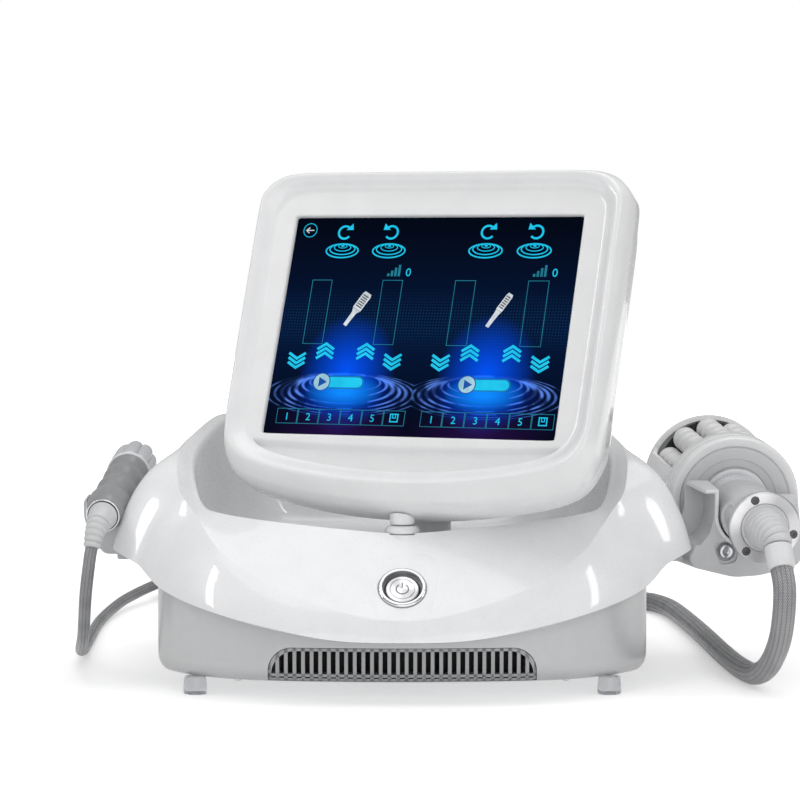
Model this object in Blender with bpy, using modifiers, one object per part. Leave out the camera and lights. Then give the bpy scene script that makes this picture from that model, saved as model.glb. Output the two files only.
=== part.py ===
# Roller massage machine: a desktop base with a swivelling display head,
# a body roller handpiece and a face roller handpiece in side holders.
# Units are metres and +Z is up. The base plate's underside is z = 0, its
# middle is the origin, and the front of the machine looks along -Y.
import math

import bpy
import bmesh
from mathutils import Matrix, Vector

for old in list(bpy.data.objects):
    bpy.data.objects.remove(old, do_unlink=True)

# Clearances and shared walls
fit_gap = 0.0003
wall_t = 0.003
cut_over = 0.004
merge_dist = 0.00005

# Base sizes
chassis_w = 0.330
chassis_d = 0.300
chassis_edge_r = 0.014
chassis_edge_in = 0.010
chassis_overlap = 0.004
plate_t = 0.004
foot_d = 0.0163
foot_h = 0.012
foot_in_x = 0.0273
foot_in_y = 0.040

# Cover sizes: half width at the wing tips, half depth at the lip, and height
cover_half_w = 0.196
cover_half_d = 0.170
cover_h = 0.163
bowl_floor_z = 0.081
bowl_lip_r = 0.005
bowl_in_share = 0.90

# Vent in the chassis front
vent_w = 0.176
vent_top_z = 0.0236
vent_low_z = 0.001
vent_corner_r = 0.016
vent_pitch = 0.00563
vent_slot_w = 0.0032
vent_rail_h = 0.004
vent_spread_share = 0.96

# Power button on the sloping front, placed between the crease and the lip
button_up_share = 0.373
button_proud = 0.0005
button_ring_r = 0.0159
button_ring_h = 0.0026
button_r = 0.0110
button_h = 0.0060
button_travel = 0.0015
switch_r = 0.0095
switch_h = 0.022

# Display head: the screen's middle is head_reach behind the swivel axis
swivel_y = -0.103
head_reach = 0.0358
screen_z = 0.231
head_yaw_deg = -22.85
head_lean_deg = 21.7
screen_w = 0.2112
screen_h = 0.1584
head_half_w = 0.136
head_top = 0.113
head_low = 0.130
head_side_t = 0.028
rim_rise = 0.010
face_rise = 0.004
rim_w = 0.012
shell_depth = 0.066
glide_r = 0.014
glide_reach = 0.050
glide_top_under = 0.115
panel_t = 0.005
panel_lap = 0.003
board_t = 0.0016

# Swivel stub, whose seat lies a set way under the screen's middle
stub_under = 0.1369
stub_flange_r = 0.0118
stub_flange_h = 0.0055
stub_cap_r = 0.0085
stub_pin_r = 0.0035
stub_pin_h = 0.0022

# Body roller handpiece, measured along its axis from the hose end
body_hose_end = (0.2406, -0.110, 0.0984)
body_axis_run = (-0.0184, 0.205, 0.0191)
flange_r = 0.024
flange_hole_r = 0.0155
flange_t = 0.005
flange_screw_r = 0.0026
flange_screw_ring = 0.0198
flange_screw_h = 0.0024
handle_r = 0.0205
handle_wall = 0.0025
handle_len = 0.094
handle_ring_r = 0.0235
handle_ring_w = 0.005
drum_r = 0.046
drum_wall = 0.0025
drum_face_r = 0.039
drum_collar_len = 0.022
drum_rim_w = 0.010
drum_window_share = 0.42
disc_t = 0.003
disc_r = 0.0365
hub_r = 0.012
carrier_up = 0.0055
row_count = 11
row_ring_r = 0.032
row_phase_deg = 85
ball_r = 0.0087
ball_count = 4
motor_len = 0.052
body_collar_r = 0.0092
body_collar_len = 0.0165
body_hose_d = 0.015

# Face roller handpiece, measured the same way
face_hose_end = (-0.2025, -0.073, 0.103)
face_axis_run = (0.011, 0.150, 0.030)
face_ring_r = 0.0115
face_ring_w = 0.003
grip_r = 0.0145
grip_len = 0.100
grip_bore_r = 0.0085
face_head_r = 0.0160
face_head_len = 0.040
barrel_count = 8
thumb_r = 0.0035
thumb_h = 0.0030
thumb_place = 0.046
face_hose_d = 0.0085

# Holders: places along the handpieces, sizes across them, and their arms
body_holder_place = 0.050
body_holder_depth = 0.040
body_holder_half_w = 0.041
body_holder_drop = 0.044
body_holder_flare = 1.22
face_holder_place = 0.028
face_holder_depth = 0.012
face_holder_half_w = 0.0185
face_holder_drop = 0.036
holder_clear = 0.0008
arm_low_z = 0.0695
arm_h = 0.0095
body_arm_w = 0.026
face_arm_w = 0.0156
body_arm_reach = 0.036
face_arm_reach = 0.031
body_arm_y = -0.036
face_arm_y = -0.030
bolt_r = 0.0050
bolt_h = 0.0040
bolt_side = 0.0150
bolt_drop = 0.0260

# Strain reliefs, as places from each hose end, and the body hose's collar
relief_end_run = 0.004
body_collar_start = (0.0054, -0.0240, -0.0099)
body_relief_route = (
    (-0.0003, 0.0030, 0.0003), (0.0005, -0.0050, -0.0005), (0.0016, -0.0125, -0.0017),
    (0.0034, -0.0185, -0.0038),
)
face_relief_end = (-0.0055, -0.0200, -0.0197)
face_relief_route = (
    (0.0, -0.0003, -0.0001), (-0.0006, -0.0060, -0.0014), (-0.0020, -0.0120, -0.0048),
    (-0.0038, -0.0165, -0.0105),
)

# Rear panel and what it carries
rear_w = 0.250
rear_h = 0.050
rear_t = 0.002
rear_lap = 0.004
inlet_w = 0.027
inlet_h = 0.020
inlet_d = 0.024
inlet_wall = 0.0025
rocker_w = 0.013
rocker_h = 0.019
rocker_d = 0.014
rocker_out = 0.002
fan_w = 0.040
fan_d = 0.010
fan_bore_r = 0.0188
fan_hub_r = 0.009
fan_blade_count = 7
socket_r = 0.013
face_socket_r = 0.009
socket_len = 0.022
body_socket_share = 0.04
face_socket_share = -0.16
inlet_share = -0.312
rocker_share = -0.416
fan_share = 0.32
rear_mid_z = 0.036

# Inside the base
supply_size = (0.110, 0.062, 0.036)
supply_place = (-0.070, 0.030)
control_size = (0.120, 0.090, 0.0016)
control_place = (0.075, 0.030)
control_stand = 0.010
control_post_r = 0.003

model = bpy.data.collections.new("roller_massage_machine")
tools = bpy.data.collections.new("cutters")
bpy.context.scene.collection.children.link(model)
bpy.context.scene.collection.children.link(tools)


def material(name, rgb, rough, metal=0.0):
    made = bpy.data.materials.new(name)
    made.use_nodes = True
    shader = made.node_tree.nodes["Principled BSDF"]
    shader.inputs["Base Color"].default_value = (*rgb, 1.0)
    shader.inputs["Roughness"].default_value = rough
    shader.inputs["Metallic"].default_value = metal
    return made


white = material("gloss_white", (0.86, 0.87, 0.88), 0.22)
silver = material("silver_grey", (0.62, 0.63, 0.65), 0.38, 0.3)
chrome = material("chrome", (0.78, 0.79, 0.80), 0.12, 1.0)
steel = material("brushed_steel", (0.66, 0.66, 0.67), 0.32, 1.0)
dark = material("black_plastic", (0.03, 0.03, 0.035), 0.45)
glass = material("display_glass", (0.01, 0.03, 0.10), 0.08)
board_green = material("board_green", (0.04, 0.20, 0.09), 0.5)
grey_rubber = material("grey_rubber", (0.36, 0.36, 0.37), 0.6)
pale_rubber = material("pale_rubber", (0.60, 0.61, 0.62), 0.55)
silicone = material("white_silicone", (0.82, 0.82, 0.81), 0.45)
braid = material("grey_braid", (0.30, 0.30, 0.32), 0.55)
clear_rubber = material("clear_rubber", (0.55, 0.57, 0.60), 0.25)
holder_grey = material("holder_grey", (0.52, 0.53, 0.55), 0.4)
tinned = material("tinned_steel", (0.55, 0.56, 0.57), 0.35, 1.0)


def empty(name, place=(0, 0, 0), turn=None, parent=None):
    made = bpy.data.objects.new(name, None)
    model.objects.link(made)
    made.parent = parent
    made.location = place
    if turn is not None:
        made.rotation_euler = turn
    return made


def finish(obj, surface, group=model, parent=None, place=None, turn=None):
    for user in list(obj.users_collection):
        user.objects.unlink(obj)
    group.objects.link(obj)
    obj.data.materials.clear()
    obj.data.materials.append(surface)
    obj.parent = parent
    if place is not None:
        obj.location = place
    if turn is not None:
        obj.rotation_euler = turn
    if group is tools:
        obj.hide_render = True
        obj.display_type = "WIRE"
    return obj


def mesh_of(name, build):
    mesh = bpy.data.meshes.new(name)
    work = bmesh.new()
    build(work)
    bmesh.ops.recalc_face_normals(work, faces=work.faces)
    work.to_mesh(mesh)
    work.free()
    return bpy.data.objects.new(name, mesh)


def loft(name, rings, surface, closed=False, cap_first=True, cap_last=True, **where):
    """Skin a run of rings with the same number of points each."""
    def build(work):
        rows = [[work.verts.new(p) for p in ring] for ring in rings]
        count = len(rings[0])
        last = len(rows) if closed else len(rows) - 1
        for i in range(last):
            low, high = rows[i], rows[(i + 1) % len(rows)]
            for j in range(count):
                k = (j + 1) % count
                work.faces.new((low[j], low[k], high[k], high[j]))
        if not closed and cap_first:
            work.faces.new(rows[0])
        if not closed and cap_last:
            work.faces.new(rows[-1])
    return finish(mesh_of(name, build), surface, **where)


def turned(name, profile, surface, steps=24, closed=False, **where):
    """Turn a profile of radius and height about the local Z axis."""
    def build(work):
        points = [work.verts.new((r, 0, z)) for r, z in profile]
        for one, two in zip(points, points[1:]):
            work.edges.new((one, two))
        if closed:
            work.edges.new((points[-1], points[0]))
    obj = mesh_of(name, build)
    screw = obj.modifiers.new("turn", "SCREW")
    screw.axis = "Z"
    screw.steps = steps
    screw.render_steps = steps
    screw.use_merge_vertices = True
    screw.merge_threshold = merge_dist
    screw.use_smooth_shade = False
    return finish(obj, surface, **where)


def pipe_profile(inner, outer, low, high):
    """A closed profile whose outer side runs down."""
    return [(outer, high), (outer, low), (inner, low), (inner, high)]


def rod_profile(radius, low, high):
    return [(0, high), (radius, high), (radius, low), (0, low)]


def box(name, size, surface, bevel=0, **where):
    def build(work):
        bmesh.ops.create_cube(work, size=1.0, matrix=Matrix.Diagonal((*size, 1)))
    obj = mesh_of(name, build)
    if bevel:
        edge = obj.modifiers.new("edge", "BEVEL")
        edge.width = bevel
        edge.segments = 2
        edge.limit_method = "ANGLE"
    return finish(obj, surface, **where)


def rod(name, radius, length, surface, sides=24, **where):
    """A cylinder that stands on its origin along local Z."""
    def build(work):
        bmesh.ops.create_cone(work, cap_ends=True, segments=sides, radius1=radius, radius2=radius,
                              depth=length, matrix=Matrix.Translation((0, 0, length / 2)))
    return finish(mesh_of(name, build), surface, **where)


def prism(name, outline, depth, surface, **where):
    """A flat outline in local X and Z, thick along local Y from zero."""
    front = [(x, 0, z) for x, z in outline]
    back = [(x, depth, z) for x, z in outline]
    return loft(name, [front, back], surface, **where)


def boolean(obj, cutter, action="DIFFERENCE"):
    cut = obj.modifiers.new(action.lower(), "BOOLEAN")
    cut.operation = action
    cut.solver = "EXACT"
    cut.object = cutter


def tube(name, points, radius, surface, resolution=2, radii=None, **where):
    """A round tube along given points, with flat ends."""
    data = bpy.data.curves.new(name, "CURVE")
    data.dimensions = "3D"
    data.bevel_depth = radius
    data.bevel_resolution = resolution
    data.use_fill_caps = True
    line = data.splines.new("POLY")
    line.points.add(len(points) - 1)
    for i, point in enumerate(points):
        line.points[i].co = (*point, 1)
        line.points[i].radius = radii[i] if radii else 1.0
    return finish(bpy.data.objects.new(name, data), surface, **where)


def smooth_route(knots, spacing):
    """Points at an even spacing on a smooth curve through the knots, with one
    more point close to each end so that the ends lie square."""
    knots = [Vector(k) for k in knots]
    ends = [knots[0] * 2 - knots[1]] + knots + [knots[-1] * 2 - knots[-2]]
    fine = []
    for i in range(1, len(ends) - 2):
        a, b, c, d = ends[i - 1], ends[i], ends[i + 1], ends[i + 2]
        for j in range(24):
            t = j / 24
            fine.append(0.5 * ((2 * b) + (c - a) * t + (2 * a - 5 * b + 4 * c - d) * t * t
                               + (3 * b - a - 3 * c + d) * t ** 3))
    fine.append(knots[-1])
    run = [0.0]
    for one, two in zip(fine, fine[1:]):
        run.append(run[-1] + (two - one).length)
    count = max(2, round(run[-1] / spacing))
    out, k = [], 0
    for i in [0, 0.2] + list(range(1, count)) + [count - 0.2, count]:
        want = run[-1] * i / count
        while k < len(run) - 2 and run[k + 1] < want:
            k += 1
        part = (want - run[k]) / max(run[k + 1] - run[k], merge_dist)
        out.append(fine[k].lerp(fine[k + 1], part))
    return out


def axis_turn(run, up=(0, 0, 1)):
    """The turn that sends local Z along run and keeps local Y near up."""
    z = Vector(run).normalized()
    y = (Vector(up) - z * Vector(up).dot(z)).normalized()
    x = y.cross(z)
    return Matrix((x, y, z)).transposed().to_euler()


def mirrored(half):
    """A full ring from its right half, given front to rear or top to bottom."""
    return list(half) + [(-x, y, z) for x, y, z in reversed(half[1:-1])]


def refined(table):
    """Twice the stations of a half outline, on a smooth curve through them."""
    rows = [Vector(row) for row in table]
    mirror = Vector([-1] + [1] * (len(table[0]) - 1))
    before = Vector([a * b for a, b in zip(rows[1], mirror)])
    after = Vector([a * b for a, b in zip(rows[-2], mirror)])
    run = [before] + rows + [after]
    out = []
    for i in range(1, len(run) - 2):
        out.append(run[i])
        out.append((run[i] + run[i + 1]) * 0.5625 - (run[i - 1] + run[i + 2]) * 0.0625)
    out.append(rows[-1])
    return [tuple(row) for row in out]


# Half outlines from the front middle round to the rear middle, as shares of
# the half width, the half depth and, for the cover, its height
chassis_outline_shares = (
    (0.000, -1.000), (0.240, -0.990), (0.470, -0.965), (0.655, -0.918), (0.785, -0.852),
    (0.885, -0.770), (0.955, -0.680), (0.995, -0.580), (1.000, -0.270), (1.000, 0.100),
    (1.000, 0.500), (1.000, 0.840), (0.980, 0.940), (0.900, 1.000), (0.450, 1.000),
    (0.000, 1.000),
)
lip_edge_shares = (
    (0.000, -1.000, 0.184), (0.235, -0.988, 0.193), (0.469, -0.947, 0.245),
    (0.638, -0.847, 0.288), (0.765, -0.725, 0.331), (0.842, -0.622, 0.374),
    (0.908, -0.524, 0.442), (1.000, -0.412, 0.497), (0.905, -0.224, 0.503),
    (0.892, 0.059, 0.503), (0.890, 0.382, 0.491), (0.887, 0.660, 0.466),
    (0.880, 0.835, 0.442), (0.805, 0.950, 0.417), (0.400, 0.970, 0.405),
    (0.000, 0.970, 0.405),
)
bulge_shares = (
    (0.000, -0.988, 0.221), (0.214, -0.976, 0.245), (0.454, -0.924, 0.307),
    (0.638, -0.812, 0.393), (0.755, -0.688, 0.472), (0.816, -0.576, 0.552),
    (0.867, -0.471, 0.650), (0.932, -0.341, 0.847), (0.868, -0.176, 0.847),
    (0.872, 0.071, 0.828), (0.866, 0.376, 0.828), (0.860, 0.640, 0.798),
    (0.842, 0.800, 0.767), (0.750, 0.915, 0.736), (0.380, 0.945, 0.724),
    (0.000, 0.945, 0.724),
)
crease_shares = (
    (0.000, -0.965, 0.264), (0.184, -0.947, 0.294), (0.408, -0.871, 0.380),
    (0.592, -0.735, 0.497), (0.668, -0.618, 0.589), (0.714, -0.529, 0.656),
    (0.765, -0.447, 0.736), (0.786, -0.282, 0.853), (0.770, -0.106, 0.908),
    (0.735, 0.088, 0.957), (0.694, 0.353, 0.994), (0.653, 0.541, 1.000),
    (0.561, 0.682, 1.000), (0.429, 0.741, 1.000), (0.214, 0.765, 1.000),
    (0.000, 0.765, 1.000),
)
bowl_lip_shares = (
    (0.000, -0.665, 0.583), (0.184, -0.659, 0.598), (0.357, -0.635, 0.617),
    (0.520, -0.571, 0.635), (0.633, -0.506, 0.653), (0.689, -0.447, 0.675),
    (0.724, -0.365, 0.736), (0.745, -0.247, 0.834), (0.735, -0.106, 0.896),
    (0.699, 0.088, 0.951), (0.663, 0.341, 0.991), (0.622, 0.518, 0.997),
    (0.536, 0.647, 0.997), (0.408, 0.706, 0.997), (0.204, 0.729, 0.997),
    (0.000, 0.729, 0.997),
)

chassis_outline = refined(chassis_outline_shares)
lip_edge = refined(lip_edge_shares)


def chassis_ring(inset, height):
    """The chassis outline drawn in by inset, at one height or one a station."""
    wide = chassis_w / 2 - inset
    deep = chassis_d / 2 - inset
    heights = height if isinstance(height, list) else [height] * len(chassis_outline)
    return mirrored([(x * wide, y * deep, z) for (x, y), z in zip(chassis_outline, heights)])


def cover_ring(table):
    return mirrored([(x * cover_half_w, y * cover_half_d, z * cover_h) for x, y, z in table])


def drawn_in(ring, share, drop=0.0, level=None):
    """A cover ring drawn toward the bowl's middle and lowered."""
    return [(x * share, y * share, level if level is not None else z - drop) for x, y, z in ring]


# Chassis: a deep ring of sheet with a rolled lower edge
def bearing(x, y):
    return math.atan2(x, -y)


def lip_height(x, y):
    """The cover's lower lip over the same bearing from the middle."""
    run = [(bearing(a * cover_half_w, b * cover_half_d), z * cover_h) for a, b, z in lip_edge]
    want = bearing(x * chassis_w / 2, y * chassis_d / 2)
    for (one, low), (two, high) in zip(run, run[1:]):
        if want <= two + merge_dist:
            return low + (high - low) * max(0.0, want - one) / (two - one)
    return run[-1][1]


edge_r = chassis_edge_r
rim_heights = [lip_height(x, y) + chassis_overlap for x, y in chassis_outline]
edge_in = chassis_edge_in
chassis_rings = [
    chassis_ring(0, rim_heights),
    chassis_ring(0, edge_r),
    chassis_ring(edge_in * 0.12, edge_r * 0.5),
    chassis_ring(edge_in * 0.42, edge_r * 0.18),
    chassis_ring(edge_in, 0),
    chassis_ring(edge_in + wall_t, 0),
    chassis_ring(edge_in + wall_t, wall_t),
    chassis_ring(wall_t, wall_t + edge_r * 0.8),
    chassis_ring(wall_t, rim_heights),
]


def chassis_body(name, surface):
    return loft(name, chassis_rings, surface, closed=True)


def vent_outline(grow):
    """The vent's outline, with round upper corners, grown by a clearance."""
    half, r = vent_w / 2 + grow, vent_corner_r
    low, top = vent_low_z - grow, vent_top_z + grow
    right = [(half, low)]
    for i in range(5):
        turn = math.radians(22.5 * i)
        right.append((half - r + r * math.cos(turn), top - r + r * math.sin(turn)))
    return right + [(-x, z) for x, z in reversed(right)]


def slot_top(x):
    """The vent's top over x, less a thin rail."""
    half, r = vent_w / 2, vent_corner_r
    over = max(0.0, abs(x) + vent_slot_w / 2 - (half - r))
    return vent_top_z - r + math.sqrt(max(r * r - over * over, 0.0)) - vent_rail_h * 0.4


base_chassis = chassis_body("base_chassis", silver)
vent_depth = chassis_d * 0.08
vent_hole = prism("vent_hole", vent_outline(0), vent_depth, dark, group=tools,
                  place=(0, -chassis_d / 2 - cut_over, 0))
boolean(base_chassis, vent_hole)

front_grille = chassis_body("front_grille", silver)
grille_form = prism("grille_form", vent_outline(-fit_gap), vent_depth - fit_gap, dark,
                    group=tools, place=(0, -chassis_d / 2 - cut_over, 0))
boolean(front_grille, grille_form, "INTERSECT")


vent_count = round(vent_w * vent_spread_share / vent_pitch)


def comb(work):
    for i in range(vent_count):
        x = (i - (vent_count - 1) / 2) * vent_pitch
        low, top = vent_low_z + vent_rail_h, slot_top(x)
        size = (vent_slot_w, vent_depth * 2, top - low)
        place = Matrix.Translation((x, -chassis_d / 2, (low + top) / 2))
        bmesh.ops.create_cube(work, size=1.0, matrix=place @ Matrix.Diagonal((*size, 1)))


vent_comb = finish(mesh_of("vent_comb", comb), dark, group=tools)
boolean(front_grille, vent_comb)

plate_in = chassis_edge_in + wall_t + fit_gap
loft("base_plate", [chassis_ring(plate_in, 0), chassis_ring(plate_in, plate_t)], tinned)

# Feet
foot_number = 0
for side in (-1, 1):
    for end in (-1, 1):
        foot_number += 1
        foot_profile = [(0, -fit_gap), (foot_d / 2 * 0.88, -fit_gap), (foot_d / 2, -foot_h * 0.7),
                        (foot_d / 2 * 0.94, -foot_h), (0, -foot_h)]
        turned("foot_%d" % foot_number, foot_profile, clear_rubber, steps=16,
               place=(side * (chassis_w / 2 - foot_in_x), end * (chassis_d / 2 - foot_in_y), 0))

# Upper cover: from its lower lip up the wings, over the bowl's lip and down
edge_ring = cover_ring(lip_edge)
bulge_ring = cover_ring(refined(bulge_shares))
crease_ring = cover_ring(refined(crease_shares))
lip_ring = cover_ring(refined(bowl_lip_shares))


def between(one, middle, two, t):
    out = []
    for a, b, c in zip(one, middle, two):
        a, b, c = Vector(a), Vector(b), Vector(c)
        out.append(tuple(a * (1 - t) ** 2 + b * (2 * t * (1 - t)) + c * t * t))
    return out


round_in_share = 1 - bowl_lip_r / cover_half_w
cover_rings = [edge_ring]
cover_rings += [between(edge_ring, bulge_ring, crease_ring, t / 3) for t in (1, 2)]
cover_rings += [crease_ring, lip_ring]
cover_rings += [
    drawn_in(lip_ring, round_in_share, bowl_lip_r * 0.5),
    drawn_in(lip_ring, round_in_share ** 2, bowl_lip_r * 1.8),
    drawn_in(lip_ring, (bowl_in_share + round_in_share) / 2, level=bowl_floor_z + bowl_lip_r * 0.6),
    drawn_in(lip_ring, bowl_in_share, level=bowl_floor_z),
]
upper_cover = loft("upper_cover", cover_rings, white, cap_first=False)
shell = upper_cover.modifiers.new("wall", "SOLIDIFY")
shell.thickness = wall_t
shell.offset = -1
shell.use_even_offset = False

stub_seat_r = stub_flange_r * 1.12
stub_seat_z = screen_z - stub_under
seat_boss_low = bowl_floor_z - wall_t * 2.5
seat_boss = rod("seat_boss", stub_seat_r, stub_seat_z - seat_boss_low, white, group=tools,
                place=(0, swivel_y, seat_boss_low))
seat_cut = rod("seat_cut", stub_seat_r * 1.02, bowl_lip_r * 4, white, group=tools,
               place=(0, swivel_y, stub_seat_z))
boolean(upper_cover, seat_boss, "UNION")
boolean(upper_cover, seat_cut)

# Power button, whose local Z is the slope's normal
low_y, low_z = crease_shares[0][1] * cover_half_d, crease_shares[0][2] * cover_h
top_y, top_z = bowl_lip_shares[0][1] * cover_half_d, bowl_lip_shares[0][2] * cover_h
slope = math.atan2(top_z - low_z, top_y - low_y)
button_tilt = (slope, 0, 0)
button_spot = (0, low_y + (top_y - low_y) * button_up_share - button_proud * math.sin(slope),
               low_z + (top_z - low_z) * button_up_share + button_proud * math.cos(slope))
ring_sink = button_ring_h * 0.4
ring_recess = rod("ring_recess", button_ring_r + fit_gap, button_ring_h * 4, white, sides=32,
                  group=tools, place=button_spot, turn=button_tilt)
ring_recess.data.transform(Matrix.Translation((0, 0, -ring_sink - fit_gap)))
ring_bore = rod("ring_bore", button_r + wall_t * 0.5, switch_h * 2, white, sides=32,
                group=tools, place=button_spot, turn=button_tilt)
ring_bore.data.transform(Matrix.Translation((0, 0, -switch_h)))
boolean(upper_cover, ring_recess)
boolean(upper_cover, ring_bore)

sleeve_low = -button_h
ring_profile = [
    (button_ring_r, button_ring_h - ring_sink), (button_ring_r, -ring_sink),
    (button_r + wall_t * 0.4, -ring_sink), (button_r + wall_t * 0.4, sleeve_low),
    (button_r + fit_gap, sleeve_low), (button_r + fit_gap, button_ring_h * 0.3),
    (button_r + wall_t * 0.5, button_ring_h - ring_sink),
]
turned("power_bezel", ring_profile, chrome, closed=True, place=button_spot, turn=button_tilt)
button_low = sleeve_low + button_travel + fit_gap * 2
button_top = button_low + button_h
button_profile = [(0, button_top), (button_r * 0.86, button_top),
                  (button_r * 0.97, button_top - wall_t * 0.2),
                  (button_r, button_top - wall_t * 0.5), (button_r, button_low), (0, button_low)]
turned("power_button", button_profile, steel, place=button_spot, turn=button_tilt)
switch_top = sleeve_low - fit_gap
switch_profile = [(0, switch_top), (button_r + wall_t * 0.4, switch_top),
                  (button_r + wall_t * 0.4, switch_top - wall_t * 0.6),
                  (switch_r, switch_top - wall_t * 0.6), (switch_r, switch_top - switch_h),
                  (0, switch_top - switch_h)]
turned("power_switch_body", switch_profile, dark, place=button_spot, turn=button_tilt)

# Display head, drawn in the screen's own frame: X right, Z up the screen,
# and -Y out of it, with the screen's middle at the origin
head_pivot = empty("head_pivot", (0, swivel_y, 0), (0, 0, math.radians(head_yaw_deg)))
screen_frame = empty("screen_frame", (0, head_reach, screen_z),
                     (-math.radians(head_lean_deg), 0, 0), head_pivot)

head_outline_shares = (
    (0.000, 1.000), (0.300, 1.000), (0.600, 1.000), (0.800, 0.995), (0.910, 0.960),
    (0.975, 0.885), (1.000, 0.780), (1.000, 0.400), (0.998, 0.000), (0.996, -0.300),
    (0.993, -0.550), (0.985, -0.680), (0.950, -0.775), (0.880, -0.850), (0.750, -0.905),
    (0.550, -0.950), (0.300, -0.985), (0.000, -1.000),
)
opening_shares = (
    (0.000, 1.000), (0.350, 1.000), (0.680, 1.000), (0.900, 1.000), (0.985, 0.998),
    (0.998, 0.980), (1.000, 0.930), (1.000, 0.500), (1.000, 0.000), (1.000, -0.350),
    (1.000, -0.650), (1.000, -0.900), (0.998, -0.975), (0.980, -0.997), (0.850, -1.000),
    (0.600, -1.000), (0.300, -1.000), (0.000, -1.000),
)


def head_ring(out, side_in, top_in, low_in):
    """The head's outline at a distance out of the screen, drawn in."""
    half = []
    for u, v in head_outline_shares:
        tall = (head_top - top_in) if v > 0 else (head_low - low_in)
        half.append((u * (head_half_w - side_in), -out, v * tall))
    return mirrored(half)


def opening_ring(out, grow):
    half = [(u * (screen_w / 2 + grow), -out, v * (screen_h / 2 + grow)) for u, v in opening_shares]
    return mirrored(half)


side_back = head_side_t - face_rise
pocket = panel_lap + fit_gap
bezel_rings = [
    head_ring(-side_back, rim_w * 0.17, rim_w * 0.17, 0),
    head_ring(-side_back * 0.4, 0, 0, 0),
    head_ring(rim_rise * 0.2, rim_w * 0.06, rim_w * 0.06, rim_w * 0.4),
    head_ring(rim_rise * 0.75, rim_w * 0.22, rim_w * 0.22, rim_w * 0.8),
    head_ring(rim_rise, rim_w * 0.5, rim_w * 0.5, rim_w * 1.1),
    head_ring(rim_rise * 0.9, rim_w * 0.75, rim_w * 0.75, rim_w * 1.35),
    head_ring(face_rise * 1.3, rim_w * 1.1, rim_w * 1.1, rim_w * 1.75),
    head_ring(face_rise, rim_w * 1.35, rim_w * 1.35, rim_w * 2.1),
    opening_ring(face_rise, panel_lap * 0.8),
    opening_ring(face_rise * 0.3, 0),
    opening_ring(fit_gap, 0),
    opening_ring(fit_gap, pocket),
    opening_ring(-panel_t, pocket),
    head_ring(-panel_t * 1.2, rim_w * 0.5, rim_w * 0.5, rim_w * 0.8),
    head_ring(-side_back, rim_w * 0.45, rim_w * 0.45, rim_w * 0.3),
]
loft("head_bezel", bezel_rings, white, closed=True, parent=screen_frame)

shell_start = side_back + fit_gap
shell_rings = [
    head_ring(-shell_start, rim_w * 0.22, rim_w * 0.22, rim_w * 0.08),
    head_ring(-shell_start - wall_t, rim_w * 0.22, rim_w * 0.22, rim_w * 0.08),
    head_ring(-shell_start - shell_depth * 0.3, rim_w * 0.6, rim_w * 1.2, rim_w * 1.0),
    head_ring(-shell_start - shell_depth * 0.68, rim_w * 1.6, rim_w * 4, rim_w * 2.5),
    head_ring(-shell_start - shell_depth * 0.9, rim_w * 3, rim_w * 6, rim_w * 3.8),
    head_ring(-shell_start - shell_depth, rim_w * 4.6, rim_w * 7.5, rim_w * 5),
]
head_rear_shell = loft("head_rear_shell", shell_rings, white, cap_first=False, parent=screen_frame)
wall = head_rear_shell.modifiers.new("wall", "SOLIDIFY")
wall.thickness = wall_t * 0.8
wall.offset = -1
wall.use_even_offset = False
glide_low = bowl_floor_z + fit_gap
glide_boss = rod("glide_boss", glide_r, screen_z - glide_top_under - glide_low, white, group=tools,
                 parent=head_pivot, place=(0, glide_reach, glide_low))
boolean(head_rear_shell, glide_boss, "UNION")

loft("display_panel", [opening_ring(0, panel_lap), opening_ring(fit_gap - panel_t, panel_lap)],
     glass, parent=screen_frame)
box("display_board", (screen_w * 0.92, board_t, screen_h * 0.8), board_green,
    parent=screen_frame, place=(0, panel_t + board_t / 2, 0))

# Swivel stub: a pin and flange on the cover, a cap under the head
flange_top = stub_flange_h
flange_profile = [
    (0, flange_top + stub_pin_h), (stub_pin_r, flange_top + stub_pin_h), (stub_pin_r, flange_top),
    (stub_flange_r * 0.8, flange_top), (stub_flange_r, flange_top * 0.55),
    (stub_flange_r, fit_gap), (0, fit_gap),
]
turned("pivot_flange", flange_profile, white, steps=24, place=(0, swivel_y, stub_seat_z))
cap_low = stub_seat_z + flange_top + fit_gap * 2
cap_h = stub_flange_h * 2.6
bore_top = stub_pin_h + fit_gap
cap_profile = [
    (0, cap_h), (stub_cap_r, cap_h), (stub_cap_r, stub_cap_r * 0.08), (stub_cap_r * 0.9, 0),
    (stub_pin_r + fit_gap, 0), (stub_pin_r + fit_gap, bore_top), (0, bore_top),
]
pivot_cap = turned("pivot_cap", cap_profile, white, steps=24, parent=head_pivot,
                   place=(0, 0, cap_low))
cap_trim = box("cap_trim", (head_half_w, head_side_t * 3, head_low), white, group=tools,
               parent=screen_frame, place=(0, 0, -head_low / 2 - fit_gap))
boolean(pivot_cap, cap_trim)

# Body roller handpiece. Its lift empty sits at the hose end, and the frame
# under it has local Z along the handpiece and local Y near straight up.
body_lift = empty("body_handpiece_lift", body_hose_end)
body_frame = empty("body_handpiece_frame", turn=axis_turn(body_axis_run), parent=body_lift)

flange = turned("handpiece_flange", pipe_profile(flange_hole_r, flange_r, 0, flange_t), steel,
                steps=28, closed=True, parent=body_frame)
for number, degrees in enumerate((111, 232, -13), 1):
    turn = math.radians(degrees)
    spot = (-flange_screw_ring * math.cos(turn), flange_screw_ring * math.sin(turn), -cut_over)
    bore = rod("flange_bore_%d" % number, flange_screw_r, cut_over + flange_screw_h, steel, sides=12,
               group=tools, parent=body_frame, place=spot)
    boolean(flange, bore)

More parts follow.
